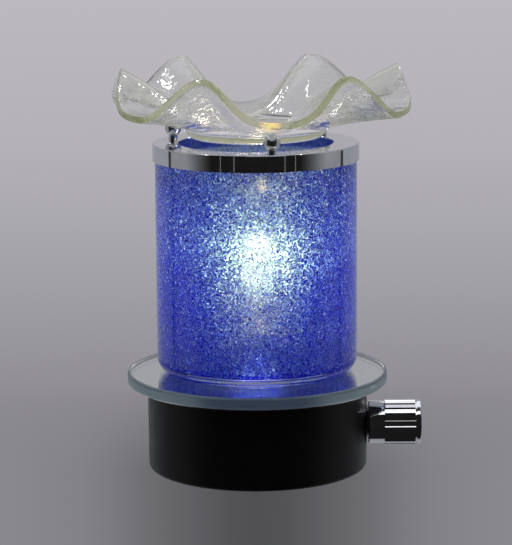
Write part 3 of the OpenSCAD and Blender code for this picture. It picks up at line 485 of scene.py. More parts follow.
def deep_glow(tree, shader, average_colour):
    """The shader, but a path that has wandered long inside the glass ends in the light that fills it."""
    depth = add_node(tree, "ShaderNodeLightPath", None, None, "Ray Depth")
    deep = add_node(tree, "ShaderNodeMath", {"operation": "GREATER_THAN"}, {0: depth, 1: DEEP_BOUNCES})
    average = add_node(tree, "ShaderNodeEmission", None, {"Color": average_colour, "Strength": 1.0})
    return add_node(tree, "ShaderNodeMixShader", None, {0: deep, 1: shader, 2: average})


print("light caught in the foot of the dish at", [round(v / MM, 1) for v in CAUGHT_AT], "mm")

# %% [markdown]
# ## Clear glasses
# All of them are soda-lime glass, so one recipe makes them. Its colour hardly shows through a face, where
# light travels a few millimetres in it, but it does at an edge, where light comes from far inside. A
# tinted surface couldn't tell the two apart, so the thick pieces absorb light inside instead: iron makes
# them green.

# %% Clear glass recipe
SODA_LIME_IOR = 1.52
SHEET_GREEN = "#8fc8a4"


def clear_glass(name, tint, shadow_tint, ripple_mm, ripple_depth_mm, roughness=0.0,
                density=0.0, depth_colour=SHEET_GREEN, deep=None):
    """Soda-lime glass: clear faces with long faint ripples, and green where it is deep."""
    material, tree = new_material(name)
    ripple = surface_noise(tree, ripple_mm, detail=2.0)
    normal = add_node(tree, "ShaderNodeBump", None, {
        "Height": ripple, "Distance": ripple_depth_mm * MM, "Strength": 1.0})
    glass = add_node(tree, "ShaderNodeBsdfPrincipled", None, {
        "Base Color": hex_linear(tint), "Roughness": roughness, "IOR": SODA_LIME_IOR,
        "Transmission Weight": 1.0, "Normal": normal})
    if deep:
        glass = deep_glow(tree, glass, deep(tree))
    volume = None
    if density:
        volume = add_node(tree, "ShaderNodeVolumeAbsorption", None, {
            "Color": hex_linear(depth_colour), "Density": density})
    show(tree, pass_lamps(tree, glass, shadow_tint), volume)
    return material


print("soda-lime glass bends light by", SODA_LIME_IOR)

# %% Glass of each piece
DISH_GREEN_DENSITY, DISH_GREEN = 24.0, "#b5c26c"
MIRROR_GREEN_DENSITY = 8.0
GROUND_ROUGH = 0.35
PRESSED_ROUGH = 0.08

# sheet glass slumped into a former and fire-polished: lively ripples, and an olive green rim
dish_glass = clear_glass("fire_polished_dish_glass", "#ffffff", "#f4f8f5",
                         ripple_mm=3.5, ripple_depth_mm=0.2,
                         density=DISH_GREEN_DENSITY, depth_colour=DISH_GREEN, deep=light_in_dish)
# blown glass, cut to length: nearly smooth
shade_clear = clear_glass("blown_shade_glass", "#fdfeff", "#f2f4f8",
                          ripple_mm=14.0, ripple_depth_mm=0.01)
# float glass: flat and polished on its faces
mirror_glass = clear_glass("polished_mirror_glass", "#fcfefd", "#eef3f0",
                           ripple_mm=20.0, ripple_depth_mm=0.002,
                           density=MIRROR_GREEN_DENSITY, deep=light_in_mirror)
# the edge of the same disc, ground and left satin, so that it glows blue-grey and shows nothing sharp
mirror_edge = clear_glass("ground_mirror_edge", "#ccd4e2", "#eef3f0",
                          ripple_mm=20.0, ripple_depth_mm=0.002, roughness=GROUND_ROUGH,
                          density=MIRROR_GREEN_DENSITY, deep=light_in_mirror)
# pressed glass cover of the lamp: dimpled by its mould, so that it blurs the capsule a little
lens_glass = clear_glass("pressed_lens_glass", "#ffffff", "#f6f6f6",
                         ripple_mm=3.0, ripple_depth_mm=0.2, roughness=PRESSED_ROUGH)
# drawn tube of the fuse: clear and straight
fuse_glass = clear_glass("fuse_tube_glass", "#f4f8f6", "#f0f4f2",
                         ripple_mm=5.0, ripple_depth_mm=0.01)
print("glasses: dish, shade, mirror and its edge, lens and fuse")

# %% [markdown]
# ## Fluted dish
# The dish is a round sheet of glass slumped into a former: a bowed foot, a round edge and a flare that
# waves six times round. It could be sculpted, but its waves would differ by accident, and a change of
# size would mean sculpting it again. A rule gives every point of it instead, so Geometry Nodes build it
# from a flat grid. One way of the grid goes round the dish and the other runs from the middle of the foot
# to the rim. Each stretch of the profile is a term that grows while the grid's share passes it and then
# stays, so the terms simply add up. The table below is that rule, one row for each node: a name, an
# operation and its two operands.

# %% Dish rule
DISH_SIZES = {
    # the reach takes the sheet a hair past the solid's rim, because the round nose takes some off again
    "Foot Radius": 28.2 * MM, "Foot Bow": 2.4 * MM, "Foot Edge": 3.0 * MM, "Wall Rise": 0.25 * MM,
    "Wall Lean": 0.8 * MM,
    "Rim Radius": 58.8 * MM, "Rim Breath": 1.6 * MM, "Rim Swell": 1.1 * MM, "Rim Lean": 1.8 * MM,
    "Rim Height": 18.9 * MM, "Wave Height": 8.0 * MM, "Crest Lift": 1.5 * MM, "Back Dip": 5.0 * MM,
    "Waves": 6.0, "First Trough": math.radians(6.6), "Flare Power": 1.2, "Reach": 1.016,
    "Ripple": 0.22 * MM, "Ripple Scale": 1 / (9 * MM),
}
DISH_RULE = [
    # how far round, and how far along the profile: 1 at the end of the foot, 1.5 at the end of the round
    # edge, 2 at the top of the short wall and 3 near the rim
    ("angle", "MULTIPLY", "round", math.tau),
    ("share", "MULTIPLY", "out", 2.0),
    ("share", "ADD", "share", "Reach"),
    ("along", "MULTIPLY", "out", "share"),
    ("foot", "MINIMUM", "along", 1.0),
    ("edge", "SUBTRACT", "along", 1.0),
    ("edge", "MULTIPLY", "edge", 2.0),
    ("edge", "MAXIMUM", "edge", 0.0),
    ("edge", "MINIMUM", "edge", 1.0),
    # the foot bows down as a parabola, and the round edge goes on from its slope
    ("flat_r", "SUBTRACT", "Foot Radius", "Foot Edge"),
    ("slope", "MULTIPLY", "Foot Bow", 2.0),
    ("slope", "DIVIDE", "slope", "flat_r"),
    ("slope", "ARCTANGENT", "slope", None),
    ("upright", "SUBTRACT", math.pi / 2, "slope"),
    ("edge", "MULTIPLY", "edge", "upright"),
    ("edge", "ADD", "edge", "slope"),
    ("slope_cos", "COSINE", "slope", None),
    ("slope_sin", "SINE", "slope", None),
    ("edge_h", "MULTIPLY", "Foot Edge", "slope_cos"),
    ("edge_h", "ADD", "edge_h", "Foot Bow"),
    ("wall_h", "ADD", "edge_h", "Wall Rise"),
    # the shares of the wall and of the flare
    ("wall", "SUBTRACT", "along", 1.5),
    ("wall", "MULTIPLY", "wall", 2.0),
    ("wall", "MAXIMUM", "wall", 0.0),
    ("wall", "MINIMUM", "wall", 1.0),
    ("flare", "SUBTRACT", "along", 2.0),
    ("flare", "MAXIMUM", "flare", 0.0),
    # the wave round the rim, and one of twice its pace that sharpens the crests
    ("turned", "SUBTRACT", "angle", "First Trough"),
    ("wave", "MULTIPLY", "turned", "Waves"),
    ("wave_cos", "COSINE", "wave", None),
    ("twice", "MULTIPLY", "wave", 2.0),
    ("twice_cos", "COSINE", "twice", None),
    # how far out the flare goes
    ("wall_r", "ADD", "Foot Radius", "Wall Lean"),
    ("flare_r", "MULTIPLY", "Rim Breath", "wave_cos"),
    ("swell", "MULTIPLY", "Rim Swell", "twice_cos"),
    ("flare_r", "SUBTRACT", "flare_r", "swell"),
    ("flare_r", "ADD", "flare_r", "Rim Radius"),
    ("flare_r", "SUBTRACT", "flare_r", "wall_r"),
    ("flare_out", "POWER", "flare", 2.0),
    ("flare_r", "MULTIPLY", "flare_r", "flare_out"),
    # the one trough at the back hangs lower than the others
    ("half_wave", "DIVIDE", math.pi, "Waves"),
    ("near", "COSINE", "half_wave", None),
    ("behind", "COSINE", "turned", None),
    ("behind", "MULTIPLY", "behind", -1.0),
    ("behind", "GREATER_THAN", "behind", "near"),
    ("dip", "ADD", "wave_cos", 1.0),
    ("dip", "MULTIPLY", "dip", 0.5),
    ("dip", "MULTIPLY", "dip", "behind"),
    ("dip", "MULTIPLY", "dip", "Back Dip"),
    # how far up the flare goes
    ("flare_h", "MULTIPLY", "Wave Height", "wave_cos"),
    ("lift", "MULTIPLY", "Crest Lift", "twice_cos"),
    ("flare_h", "SUBTRACT", "lift", "flare_h"),
    ("flare_h", "ADD", "flare_h", "Rim Height"),
    ("flare_h", "SUBTRACT", "flare_h", "dip"),
    ("flare_h", "SUBTRACT", "flare_h", "wall_h"),
    ("flare_up", "POWER", "flare", "Flare Power"),
    ("flare_h", "MULTIPLY", "flare_h", "flare_up"),
    # radius: foot, round edge, wall and flare added up
    ("bowed_r", "MULTIPLY", "Foot Edge", "slope_sin"),
    ("bowed_r", "ADD", "bowed_r", "flat_r"),
    ("radius", "MULTIPLY", "bowed_r", "foot"),
    ("edge_sin", "SINE", "edge", None),
    ("edge_sin", "SUBTRACT", "edge_sin", "slope_sin"),
    ("edge_r", "MULTIPLY", "Foot Edge", "edge_sin"),
    ("radius", "ADD", "radius", "edge_r"),
    ("lean_r", "MULTIPLY", "Wall Lean", "wall"),
    ("radius", "ADD", "radius", "lean_r"),
    ("radius", "ADD", "radius", "flare_r"),
    # height: the same four stretches
    ("height", "MULTIPLY", "foot", "foot"),
    ("height", "MULTIPLY", "height", "Foot Bow"),
    ("edge_cos", "COSINE", "edge", None),
    ("edge_cos", "SUBTRACT", "slope_cos", "edge_cos"),
    ("edge_rise", "MULTIPLY", "Foot Edge", "edge_cos"),
    ("height", "ADD", "height", "edge_rise"),
    ("wall_rise", "MULTIPLY", "Wall Rise", "wall"),
    ("height", "ADD", "height", "wall_rise"),
    ("height", "ADD", "height", "flare_h"),
    # the point, which leans a little to one side near the rim
    ("angle_sin", "SINE", "angle", None),
    ("angle_cos", "COSINE", "angle", None),
    ("x", "MULTIPLY", "radius", "angle_sin"),
    ("lean", "POWER", "flare", 3.0),
    ("lean", "MULTIPLY", "lean", "Rim Lean"),
    ("x", "ADD", "x", "lean"),
    ("y", "MULTIPLY", "radius", "angle_cos"),
    ("y", "MULTIPLY", "y", -1.0),
]
RIPPLE_RULE = [
    ("swing", "SUBTRACT", "noise", 0.5),
    ("swing", "MULTIPLY", "swing", "Ripple"),
    ("swing", "MULTIPLY", "swing", "wall"),
]
print("dish rule:", len(DISH_RULE), "rows, ripple rule:", len(RIPPLE_RULE), "rows")

# %% [markdown]
# A tree gets one named input for each size, then one math node for each row of the rule. It ends by
# realizing its instances and setting the glass. The tree runs on an empty carrier, and its result is kept
# as a plain mesh.

# %% Tree helpers
def start_tree(name, sizes):
    """A Geometry Nodes tree with one named float input for each size."""
    tree = bpy.data.node_groups.new(name, "GeometryNodeTree")
    tree.interface.new_socket("Geometry", in_out="OUTPUT", socket_type="NodeSocketGeometry")
    for size in sizes:
        tree.interface.new_socket(size, in_out="INPUT", socket_type="NodeSocketFloat")
    group_in = tree.nodes.new("NodeGroupInput")
    return tree, {size: group_in.outputs[size] for size in sizes}


def follow_rule(tree, rule, known):
    """Adds one math node for each row of a rule, and returns every value by name."""
    values = dict(known)
    for name, operation, first, second in rule:
        operands = {0: values.get(first, first)}
        if second is not None:
            operands[1] = values.get(second, second)
        values[name] = add_node(tree, "ShaderNodeMath", {"operation": operation}, operands)
    return values


def end_tree(tree, geometry, material):
    """Realizes instances, sets the material and closes the tree."""
    real = add_node(tree, "GeometryNodeRealizeInstances", None, {"Geometry": geometry})
    done = add_node(tree, "GeometryNodeSetMaterial", None, {"Geometry": real, "Material": material})
    add_node(tree, "NodeGroupOutput", None, {0: done})


def build(name, tree, sizes):
    """Runs a tree with its sizes and keeps the result as a plain mesh object."""
    carrier = mesh_object(name + "_tree", [(0, 0, 0)], [])
    modifier = carrier.modifiers.new("build", "NODES")
    modifier.node_group = tree
    for item in tree.interface.items_tree:
        if item.in_out == "INPUT":
            modifier[item.identifier] = sizes[item.name]
    evaluated = carrier.evaluated_get(bpy.context.evaluated_depsgraph_get())
    mesh = bpy.data.meshes.new_from_object(evaluated)
    bpy.data.objects.remove(carrier)
    built = bpy.data.objects.new(name, mesh)
    bpy.context.scene.collection.objects.link(built)
    print(name, "built with", len(mesh.polygons), "faces")
    return built


print("a tree for the dish takes", len(DISH_SIZES), "sizes")

# %% Dish tree
DISH_TURNS, DISH_RINGS = 288, 84
SEAM_WELD = 0.01 * MM


def dish_tree():
    """The outside of the dish, with its foot's middle at the origin."""
    tree, known = start_tree("fluted_dish", DISH_SIZES)
    grid = add_node(tree, "GeometryNodeMeshGrid", None, {
        "Size X": 1.0, "Size Y": 1.0, "Vertices X": DISH_TURNS + 1, "Vertices Y": DISH_RINGS + 1}, "Mesh")
    place = add_node(tree, "GeometryNodeInputPosition")
    across = add_node(tree, "ShaderNodeSeparateXYZ", None, {"Vector": place}).node.outputs
    for name, side in (("round", "X"), ("out", "Y")):
        known[name] = add_node(tree, "ShaderNodeMath", {"operation": "ADD"}, {0: across[side], 1: 0.5})
    known = follow_rule(tree, DISH_RULE, known)
    point = add_node(tree, "ShaderNodeCombineXYZ", None, {
        "X": known["x"], "Y": known["y"], "Z": known["height"]})
    shaped = add_node(tree, "GeometryNodeSetPosition", None, {"Geometry": grid, "Position": point})
    merged = add_node(tree, "GeometryNodeMergeByDistance", None, {
        "Geometry": shaped, "Distance": SEAM_WELD})
    normal = add_node(tree, "GeometryNodeInputNormal")
    known["noise"] = add_node(tree, "ShaderNodeTexNoise", None, {
        "Scale": known["Ripple Scale"], "Detail": 1.0}, "Fac")
    swing = follow_rule(tree, RIPPLE_RULE, known)["swing"]
    offset = add_node(tree, "ShaderNodeVectorMath", {"operation": "SCALE"}, {0: normal, "Scale": swing})
    rippled = add_node(tree, "GeometryNodeSetPosition", None, {"Geometry": merged, "Offset": offset})
    smooth = add_node(tree, "GeometryNodeSetShadeSmooth", None, {"Geometry": rippled})
    end_tree(tree, smooth, dish_glass)
    return tree


print("the grid has", DISH_TURNS, "by", DISH_RINGS, "cells")

# %% [markdown]
# The tree makes the outer face only. Solidify thickens it inwards, and a bevel turns the two sharp
# corners of the rim into one round nose, which is what a flame does to a cut edge. The piece then takes
# its place: it rides on its body and stands for its node in the solid model.

# %% Build the dish
DISH_THICKNESS = 2.6 * MM
NOSE_SHARE, NOSE_SEGMENTS, NOSE_ANGLE = 0.49, 4, math.radians(60)
rebuilt = set()


def round_nose(piece, thickness):
    """Thickens the sheet inwards and rounds its rim, then applies both."""
    wall = piece.modifiers.new("wall", "SOLIDIFY")
    wall.thickness = thickness
    wall.offset = -1.0
    wall.use_quality_normals = True
    nose = piece.modifiers.new("nose", "BEVEL")
    nose.width = thickness * NOSE_SHARE
    nose.segments = NOSE_SEGMENTS
    nose.limit_method = "ANGLE"
    nose.angle_limit = NOSE_ANGLE
    nose.harden_normals = False
    evaluated = piece.evaluated_get(bpy.context.evaluated_depsgraph_get())
    mesh = bpy.data.meshes.new_from_object(evaluated)
    piece.modifiers.clear()
    piece.data = mesh
    mesh.shade_smooth()


def seat(piece, body, node):
    """Makes a finished piece ride on its body and stand for its node."""
    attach(piece, body)
    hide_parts(node)
    rebuilt.add(node)
    print(piece.name, len(piece.data.polygons), "faces on", body)


dish = build("fluted_dish", dish_tree(), DISH_SIZES)
dish.data.transform(Matrix.Translation((AXIS.x, AXIS.y, dish_low.z)))
round_nose(dish, DISH_THICKNESS)
seat(dish, "dish", "glass_dish")

# %% [markdown]
# ## Coats that stick to glass
# The blue coat in the shade and the silver under the mirror both stick to their glass, with no film of
# air between. If both faces lay in one place, the renderer couldn't tell which it had met, so the copy
# that stands for the coat is swollen by a hair, into the glass. The solid's mesh is loose triangles, so
# its copy is merged first: only then does each vertex have one normal to move along.

# %% Copies of solids
COAT_BITE = 0.03 * MM
COPY_WELD = 0.001 * MM


def dressed_piece(mesh, name, material, body, node):
    """A seated piece made of a changed copy of its node's mesh, all of it in one material."""
    mesh.name = name
    mesh.materials.clear()
    mesh.materials.append(material)
    for polygon in mesh.polygons:
        polygon.material_index = 0
    piece = bpy.data.objects.new(name, mesh)
    bpy.context.scene.collection.objects.link(piece)
    seat(piece, body, node)
    return piece


def pressed_on(node, name, material, body):
    """A coat that bites into the glass that it is stuck to."""
    mesh = frame["nodes"][node].data.copy()
    work = bmesh.new()
    work.from_mesh(mesh)
    bmesh.ops.remove_doubles(work, verts=work.verts, dist=COPY_WELD)
    bmesh.ops.recalc_face_normals(work, faces=work.faces)
    work.to_mesh(mesh)
    work.free()
    for vertex, normal in [(v, v.normal.copy()) for v in mesh.vertices]:
        vertex.co += normal * COAT_BITE
    return dressed_piece(mesh, name, material, body, node)


def second_material(piece, material, chosen):
    """Gives the faces for which chosen is true a material of their own."""
    piece.data.materials.append(material)
    for polygon in piece.data.polygons:
        if chosen(polygon):
            polygon.material_index = 1


print("coats bite", round(COAT_BITE / MM, 3), "mm into their glass")

# %% [markdown]
# ## Glitter coat
# The inside of the shade is sprayed with blue lacquer full of foil flakes. They could be scattered as
# small meshes, but there would be hundreds of thousands of them. A Voronoi pattern gives each flake its
# cell and its own random numbers instead. Some flakes are foil and some only pigment, and each leans its
# own way. Light from the lamp comes through in four ways: as a blue glow in the lacquer, through gaps
# between the flakes, through a fine haze that scatters it forwards and shows the lamp as a soft white
# core, and straight through pinholes. A few flakes catch it whole and flash as sparks. The real flakes
# are about 0.3 mm, and are drawn half as large again so that they show in the picture.

# %% Glitter flakes
FLAKE_MM = 0.44
DICE_MIDDLE = (0.5, 0.5, 0.5)
FOIL_TILT = (1.1, 1.1, 1.1)
PAINT_ROUGH, PAINT_GLOSS, FOIL_ROUGH = 0.6, 0.2, 0.25
FOIL_FROM, FOIL_FULL = 0.72, 0.8
PIGMENT_BLUES = [(0.0, "#08088a"), (0.5, "#1010b4"), (0.85, "#1a1cd2"), (1.0, "#5470f0")]
FOIL_BLUES = [(0.0, "#1a22b0"), (0.6, "#4064e4"), (1.0, "#e4f4ff")]


def flake_dice(tree):
    """Three odds, a lean and a number of luck for each flake."""
    coordinates = add_node(tree, "ShaderNodeTexCoord", None, None, "Object")
    flake = add_node(tree, "ShaderNodeTexVoronoi", {"voronoi_dimensions": "3D"}, {
        "Vector": coordinates, "Scale": 1 / (FLAKE_MM * MM), "Randomness": 1.0}, "Color")
    odds = add_node(tree, "ShaderNodeSeparateColor", None, {"Color": flake}).node.outputs
    dice = add_node(tree, "ShaderNodeTexWhiteNoise", {"noise_dimensions": "3D"}, {
        "Vector": flake}, "Color").node.outputs
    lean = add_node(tree, "ShaderNodeVectorMath", {"operation": "SUBTRACT"}, {
        0: dice["Color"], 1: DICE_MIDDLE})
    return odds, lean, dice["Value"]


def leaning_normal(tree, lean, amounts):
    """The surface's normal, leaned by a random vector for each flake, with an amount for each axis."""
    push = add_node(tree, "ShaderNodeVectorMath", {"operation": "MULTIPLY"}, {0: lean, 1: amounts})
    facing = add_node(tree, "ShaderNodeNewGeometry", None, None, "Normal")
    moved = add_node(tree, "ShaderNodeVectorMath", {"operation": "ADD"}, {0: facing, 1: push})
    return add_node(tree, "ShaderNodeVectorMath", {"operation": "NORMALIZE"}, {0: moved})


def flake_faces(tree, odds, lean):
    """What the room sees of the flakes: matt pigment, with foil here and there."""
    pigment = add_node(tree, "ShaderNodeValToRGB", None, {"Fac": odds["Red"]}, "Color", PIGMENT_BLUES)
    paint = add_node(tree, "ShaderNodeBsdfPrincipled", None, {
        "Base Color": pigment, "Roughness": PAINT_ROUGH, "Specular IOR Level": PAINT_GLOSS})
    foil_blue = add_node(tree, "ShaderNodeValToRGB", None, {"Fac": odds["Green"]}, "Color", FOIL_BLUES)
    foil = add_node(tree, "ShaderNodeBsdfPrincipled", None, {
        "Base Color": foil_blue, "Metallic": 1.0, "Roughness": FOIL_ROUGH,
        "Normal": leaning_normal(tree, lean, FOIL_TILT)})
    mirrored = add_node(tree, "ShaderNodeMapRange", None, {
        "Value": odds["Red"], "From Min": FOIL_FROM, "From Max": FOIL_FULL})
    return add_node(tree, "ShaderNodeMixShader", None, {0: mirrored, 1: paint, 2: foil})


print("flakes are drawn", FLAKE_MM, "mm across")

# %% Glitter lacquer
INTO_GLASS_IOR = 1 / SODA_LIME_IOR
GAP_TILT, HAZE_TILT = (2.2, 2.2, 0.6), (1.4, 1.4, 0.1)
GAP_ROUGH = 0.5
GAP_TINTS = [(0.0, "#64b4c8"), (0.5, "#98e0c8"), (1.0, "#e4ffdc")]
GLOW_BLUES = [(0.0, "#0a0a90"), (0.5, "#1012bc"), (0.9, "#181edc"), (1.0, "#8cc8f8")]
OPEN_FROM, OPEN_LEAST, OPEN_MOST = 0.2, 0.08, 0.7
LIT_LEAST, LIT_MOST = 0.35, 0.8
HAZE_SHARE, HAZE_ROUGH, HAZE_TINT = 0.15, 0.58, "#dcffd0"
PINHOLE_SHARE, PINHOLE_ROUGH, PINHOLE_TINT = 0.028, 0.24, "#f4fff0"
SPARK_SHARE = 0.05
SPARK_TINTS = [(0.0, "#5c9cdc"), (1.0, "#e8fff4")]
COAT_SHADOW = "#1b2a6e"


def lamp_through_coat(tree, odds, lean):
    """What comes through from the lamp: a blue glow in the lacquer, and light through the gaps."""
    glow_blue = add_node(tree, "ShaderNodeValToRGB", None, {"Fac": odds["Green"]}, "Color", GLOW_BLUES)
    glow = add_node(tree, "ShaderNodeBsdfTranslucent", None, {"Color": glow_blue})
    gap_tint = add_node(tree, "ShaderNodeValToRGB", None, {"Fac": odds["Blue"]}, "Color", GAP_TINTS)
    gap = add_node(tree, "ShaderNodeBsdfRefraction", None, {
        "Color": gap_tint, "Roughness": GAP_ROUGH, "IOR": INTO_GLASS_IOR,
        "Normal": leaning_normal(tree, lean, GAP_TILT)})
    openness = add_node(tree, "ShaderNodeMapRange", None, {
        "Value": odds["Blue"], "From Min": OPEN_FROM, "To Min": OPEN_LEAST, "To Max": OPEN_MOST})
    return add_node(tree, "ShaderNodeMixShader", None, {0: openness, 1: glow, 2: gap})


def glitter_lacquer():
    """Blue glitter lacquer, sprayed: foil flakes at odd angles in a clear blue binder."""
    material, tree = new_material("blue_glitter_lacquer")
    odds, lean, luck = flake_dice(tree)
    lit_share = add_node(tree, "ShaderNodeMapRange", None, {
        "Value": odds["Green"], "To Min": LIT_LEAST, "To Max": LIT_MOST})
    sealed = add_node(tree, "ShaderNodeMixShader", None, {
        0: lit_share, 1: flake_faces(tree, odds, lean), 2: lamp_through_coat(tree, odds, lean)})
    haze = add_node(tree, "ShaderNodeBsdfRefraction", None, {
        "Color": hex_linear(HAZE_TINT), "Roughness": HAZE_ROUGH, "IOR": INTO_GLASS_IOR,
        "Normal": leaning_normal(tree, lean, HAZE_TILT)})
    hazy = add_node(tree, "ShaderNodeMixShader", None, {0: HAZE_SHARE, 1: sealed, 2: haze})
    pinholes = add_node(tree, "ShaderNodeBsdfRefraction", None, {
        "Color": hex_linear(PINHOLE_TINT), "Roughness": PINHOLE_ROUGH, "IOR": INTO_GLASS_IOR})
    pierced = add_node(tree, "ShaderNodeMixShader", None, {0: PINHOLE_SHARE, 1: hazy, 2: pinholes})
    spark_tint = add_node(tree, "ShaderNodeValToRGB", None, {"Fac": odds["Red"]}, "Color", SPARK_TINTS)
    spark = add_node(tree, "ShaderNodeBsdfTranslucent", None, {"Color": spark_tint})
    lucky = add_node(tree, "ShaderNodeMath", {"operation": "GREATER_THAN"}, {0: luck, 1: 1 - SPARK_SHARE})
    coat = add_node(tree, "ShaderNodeMixShader", None, {0: lucky, 1: pierced, 2: spark})
    show(tree, pass_lamps(tree, coat, COAT_SHADOW))
    return material


def clear_binder():
    """The lacquer's inner face, wet-looking but too thin to bend what is seen through it."""
    material, tree = new_material("clear_binder")
    show(tree, add_node(tree, "ShaderNodeBsdfTransparent", None, {"Color": hex_linear("#ffffff")}))
    return material


glitter = pressed_on("glitter_lining", "glitter_coat", glitter_lacquer(), "shade")
second_material(glitter, clear_binder(), lambda face: face.normal.dot(face.center - SHADE_MIDDLE) < 0)

# %% [markdown]
# ## Silvering
# The mirror is a glass disc with silver laid wet on its underside. It could be one more material on the
# disc's lower face, but the solid model has it as a piece of its own, and it stays one. Seen through the
# glass it is a near-perfect mirror, and a faint cloudiness keeps it from looking computed.

# %% Silver the mirror
SILVER_CLOUD_MM = 25.0
CLOUD_LOW, CLOUD_HIGH = 0.3, 0.7
SILVER_CLEAR, SILVER_CLOUDY = 0.004, 0.03


def silver():
    """Wet silvering under glass: a near-perfect mirror with a faint cloudiness."""
    material, tree = new_material("wet_silvering")
    cloud = add_node(tree, "ShaderNodeMapRange", None, {
        "Value": surface_noise(tree, SILVER_CLOUD_MM), "From Min": CLOUD_LOW, "From Max": CLOUD_HIGH,
        "To Min": SILVER_CLEAR, "To Max": SILVER_CLOUDY})
    show(tree, add_node(tree, "ShaderNodeBsdfPrincipled", None, {
        "Base Color": hex_linear("#e9ebec"), "Metallic": 1.0, "Roughness": cloud}))
    return material


pressed_on("mirror_backing", "mirror_silvering", silver(), "base")

# %% [markdown]
# ## Mirror plate
# The shade only rests on the mirror, so a film of air parts the two glasses and light bends twice on its
# way through. Two faces at one height would confuse the renderer, so the disc is thinned by a hair on
# top. Its edge is ground and its faces are polished, so the faces that don't lie flat get a glass of
# their own.

# %% Cut the mirror plate
AIR_FILM = 0.02 * MM
FLAT_FACE = 0.99


def thinned_copy(node, name, film, material, body):
    """A copy of a flat glass whose top face is lowered by a film of air."""
    mesh = frame["nodes"][node].data.copy()
    low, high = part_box(node)
    share = 1 - film / (high.z - low.z)
    for vertex in mesh.vertices:
        vertex.co.z = low.z + (vertex.co.z - low.z) * share
    return dressed_piece(mesh, name, material, body, node)


mirror_plate = thinned_copy("mirror_disc", "mirror_plate", AIR_FILM, mirror_glass, "base")
second_material(mirror_plate, mirror_edge, lambda face: abs(face.normal.z) < FLAT_FACE)

# %% [markdown]
# ## Solid finishes
# Everything else is an opaque plastic, metal, ceramic or lacquer. They share one recipe: a base colour
# that drifts a little, a roughness that drifts with it, and a fine texture in the surface whose grain has
# a real size. What makes each one itself are its numbers. A grain finer than a quarter of a millimetre
# wouldn't show, so the finest ones are drawn that coarse.

# %% Solid finish recipe
DRIFT_MM = 6.0
DRIFT_LOW, DRIFT_HIGH = 0.3, 0.7
BRUSHED = (1.0, 0.05, 1.0)
PLAIN_GLOSS, SATIN_GLOSS = 0.5, 0.19


def solid_finish(name, base, drift, metallic, rough_low, rough_high, grain_mm, grain_depth_mm,
                 stretch=EVEN, gloss=PLAIN_GLOSS):
    """An opaque finish: colour and roughness drift slowly, and a grain of grain_mm stands in relief."""
    material, tree = new_material(name)
    slow = surface_noise(tree, DRIFT_MM)
    colour = add_node(tree, "ShaderNodeValToRGB", None, {"Fac": slow}, "Color", [
        (DRIFT_LOW, base), (DRIFT_HIGH, drift)])
    rough = add_node(tree, "ShaderNodeMapRange", None, {
        "Value": slow, "From Min": DRIFT_LOW, "From Max": DRIFT_HIGH,
        "To Min": rough_low, "To Max": rough_high})
    grain = surface_noise(tree, grain_mm, detail=2.0, stretch=stretch)
    relief = add_node(tree, "ShaderNodeBump", None, {
        "Height": grain, "Distance": grain_depth_mm * MM, "Strength": 1.0})
    show(tree, add_node(tree, "ShaderNodeBsdfPrincipled", None, {
        "Base Color": colour, "Metallic": metallic, "Roughness": rough, "Specular IOR Level": gloss,
        "Normal": relief}))
    return material


print("colour and roughness drift over", DRIFT_MM, "mm")

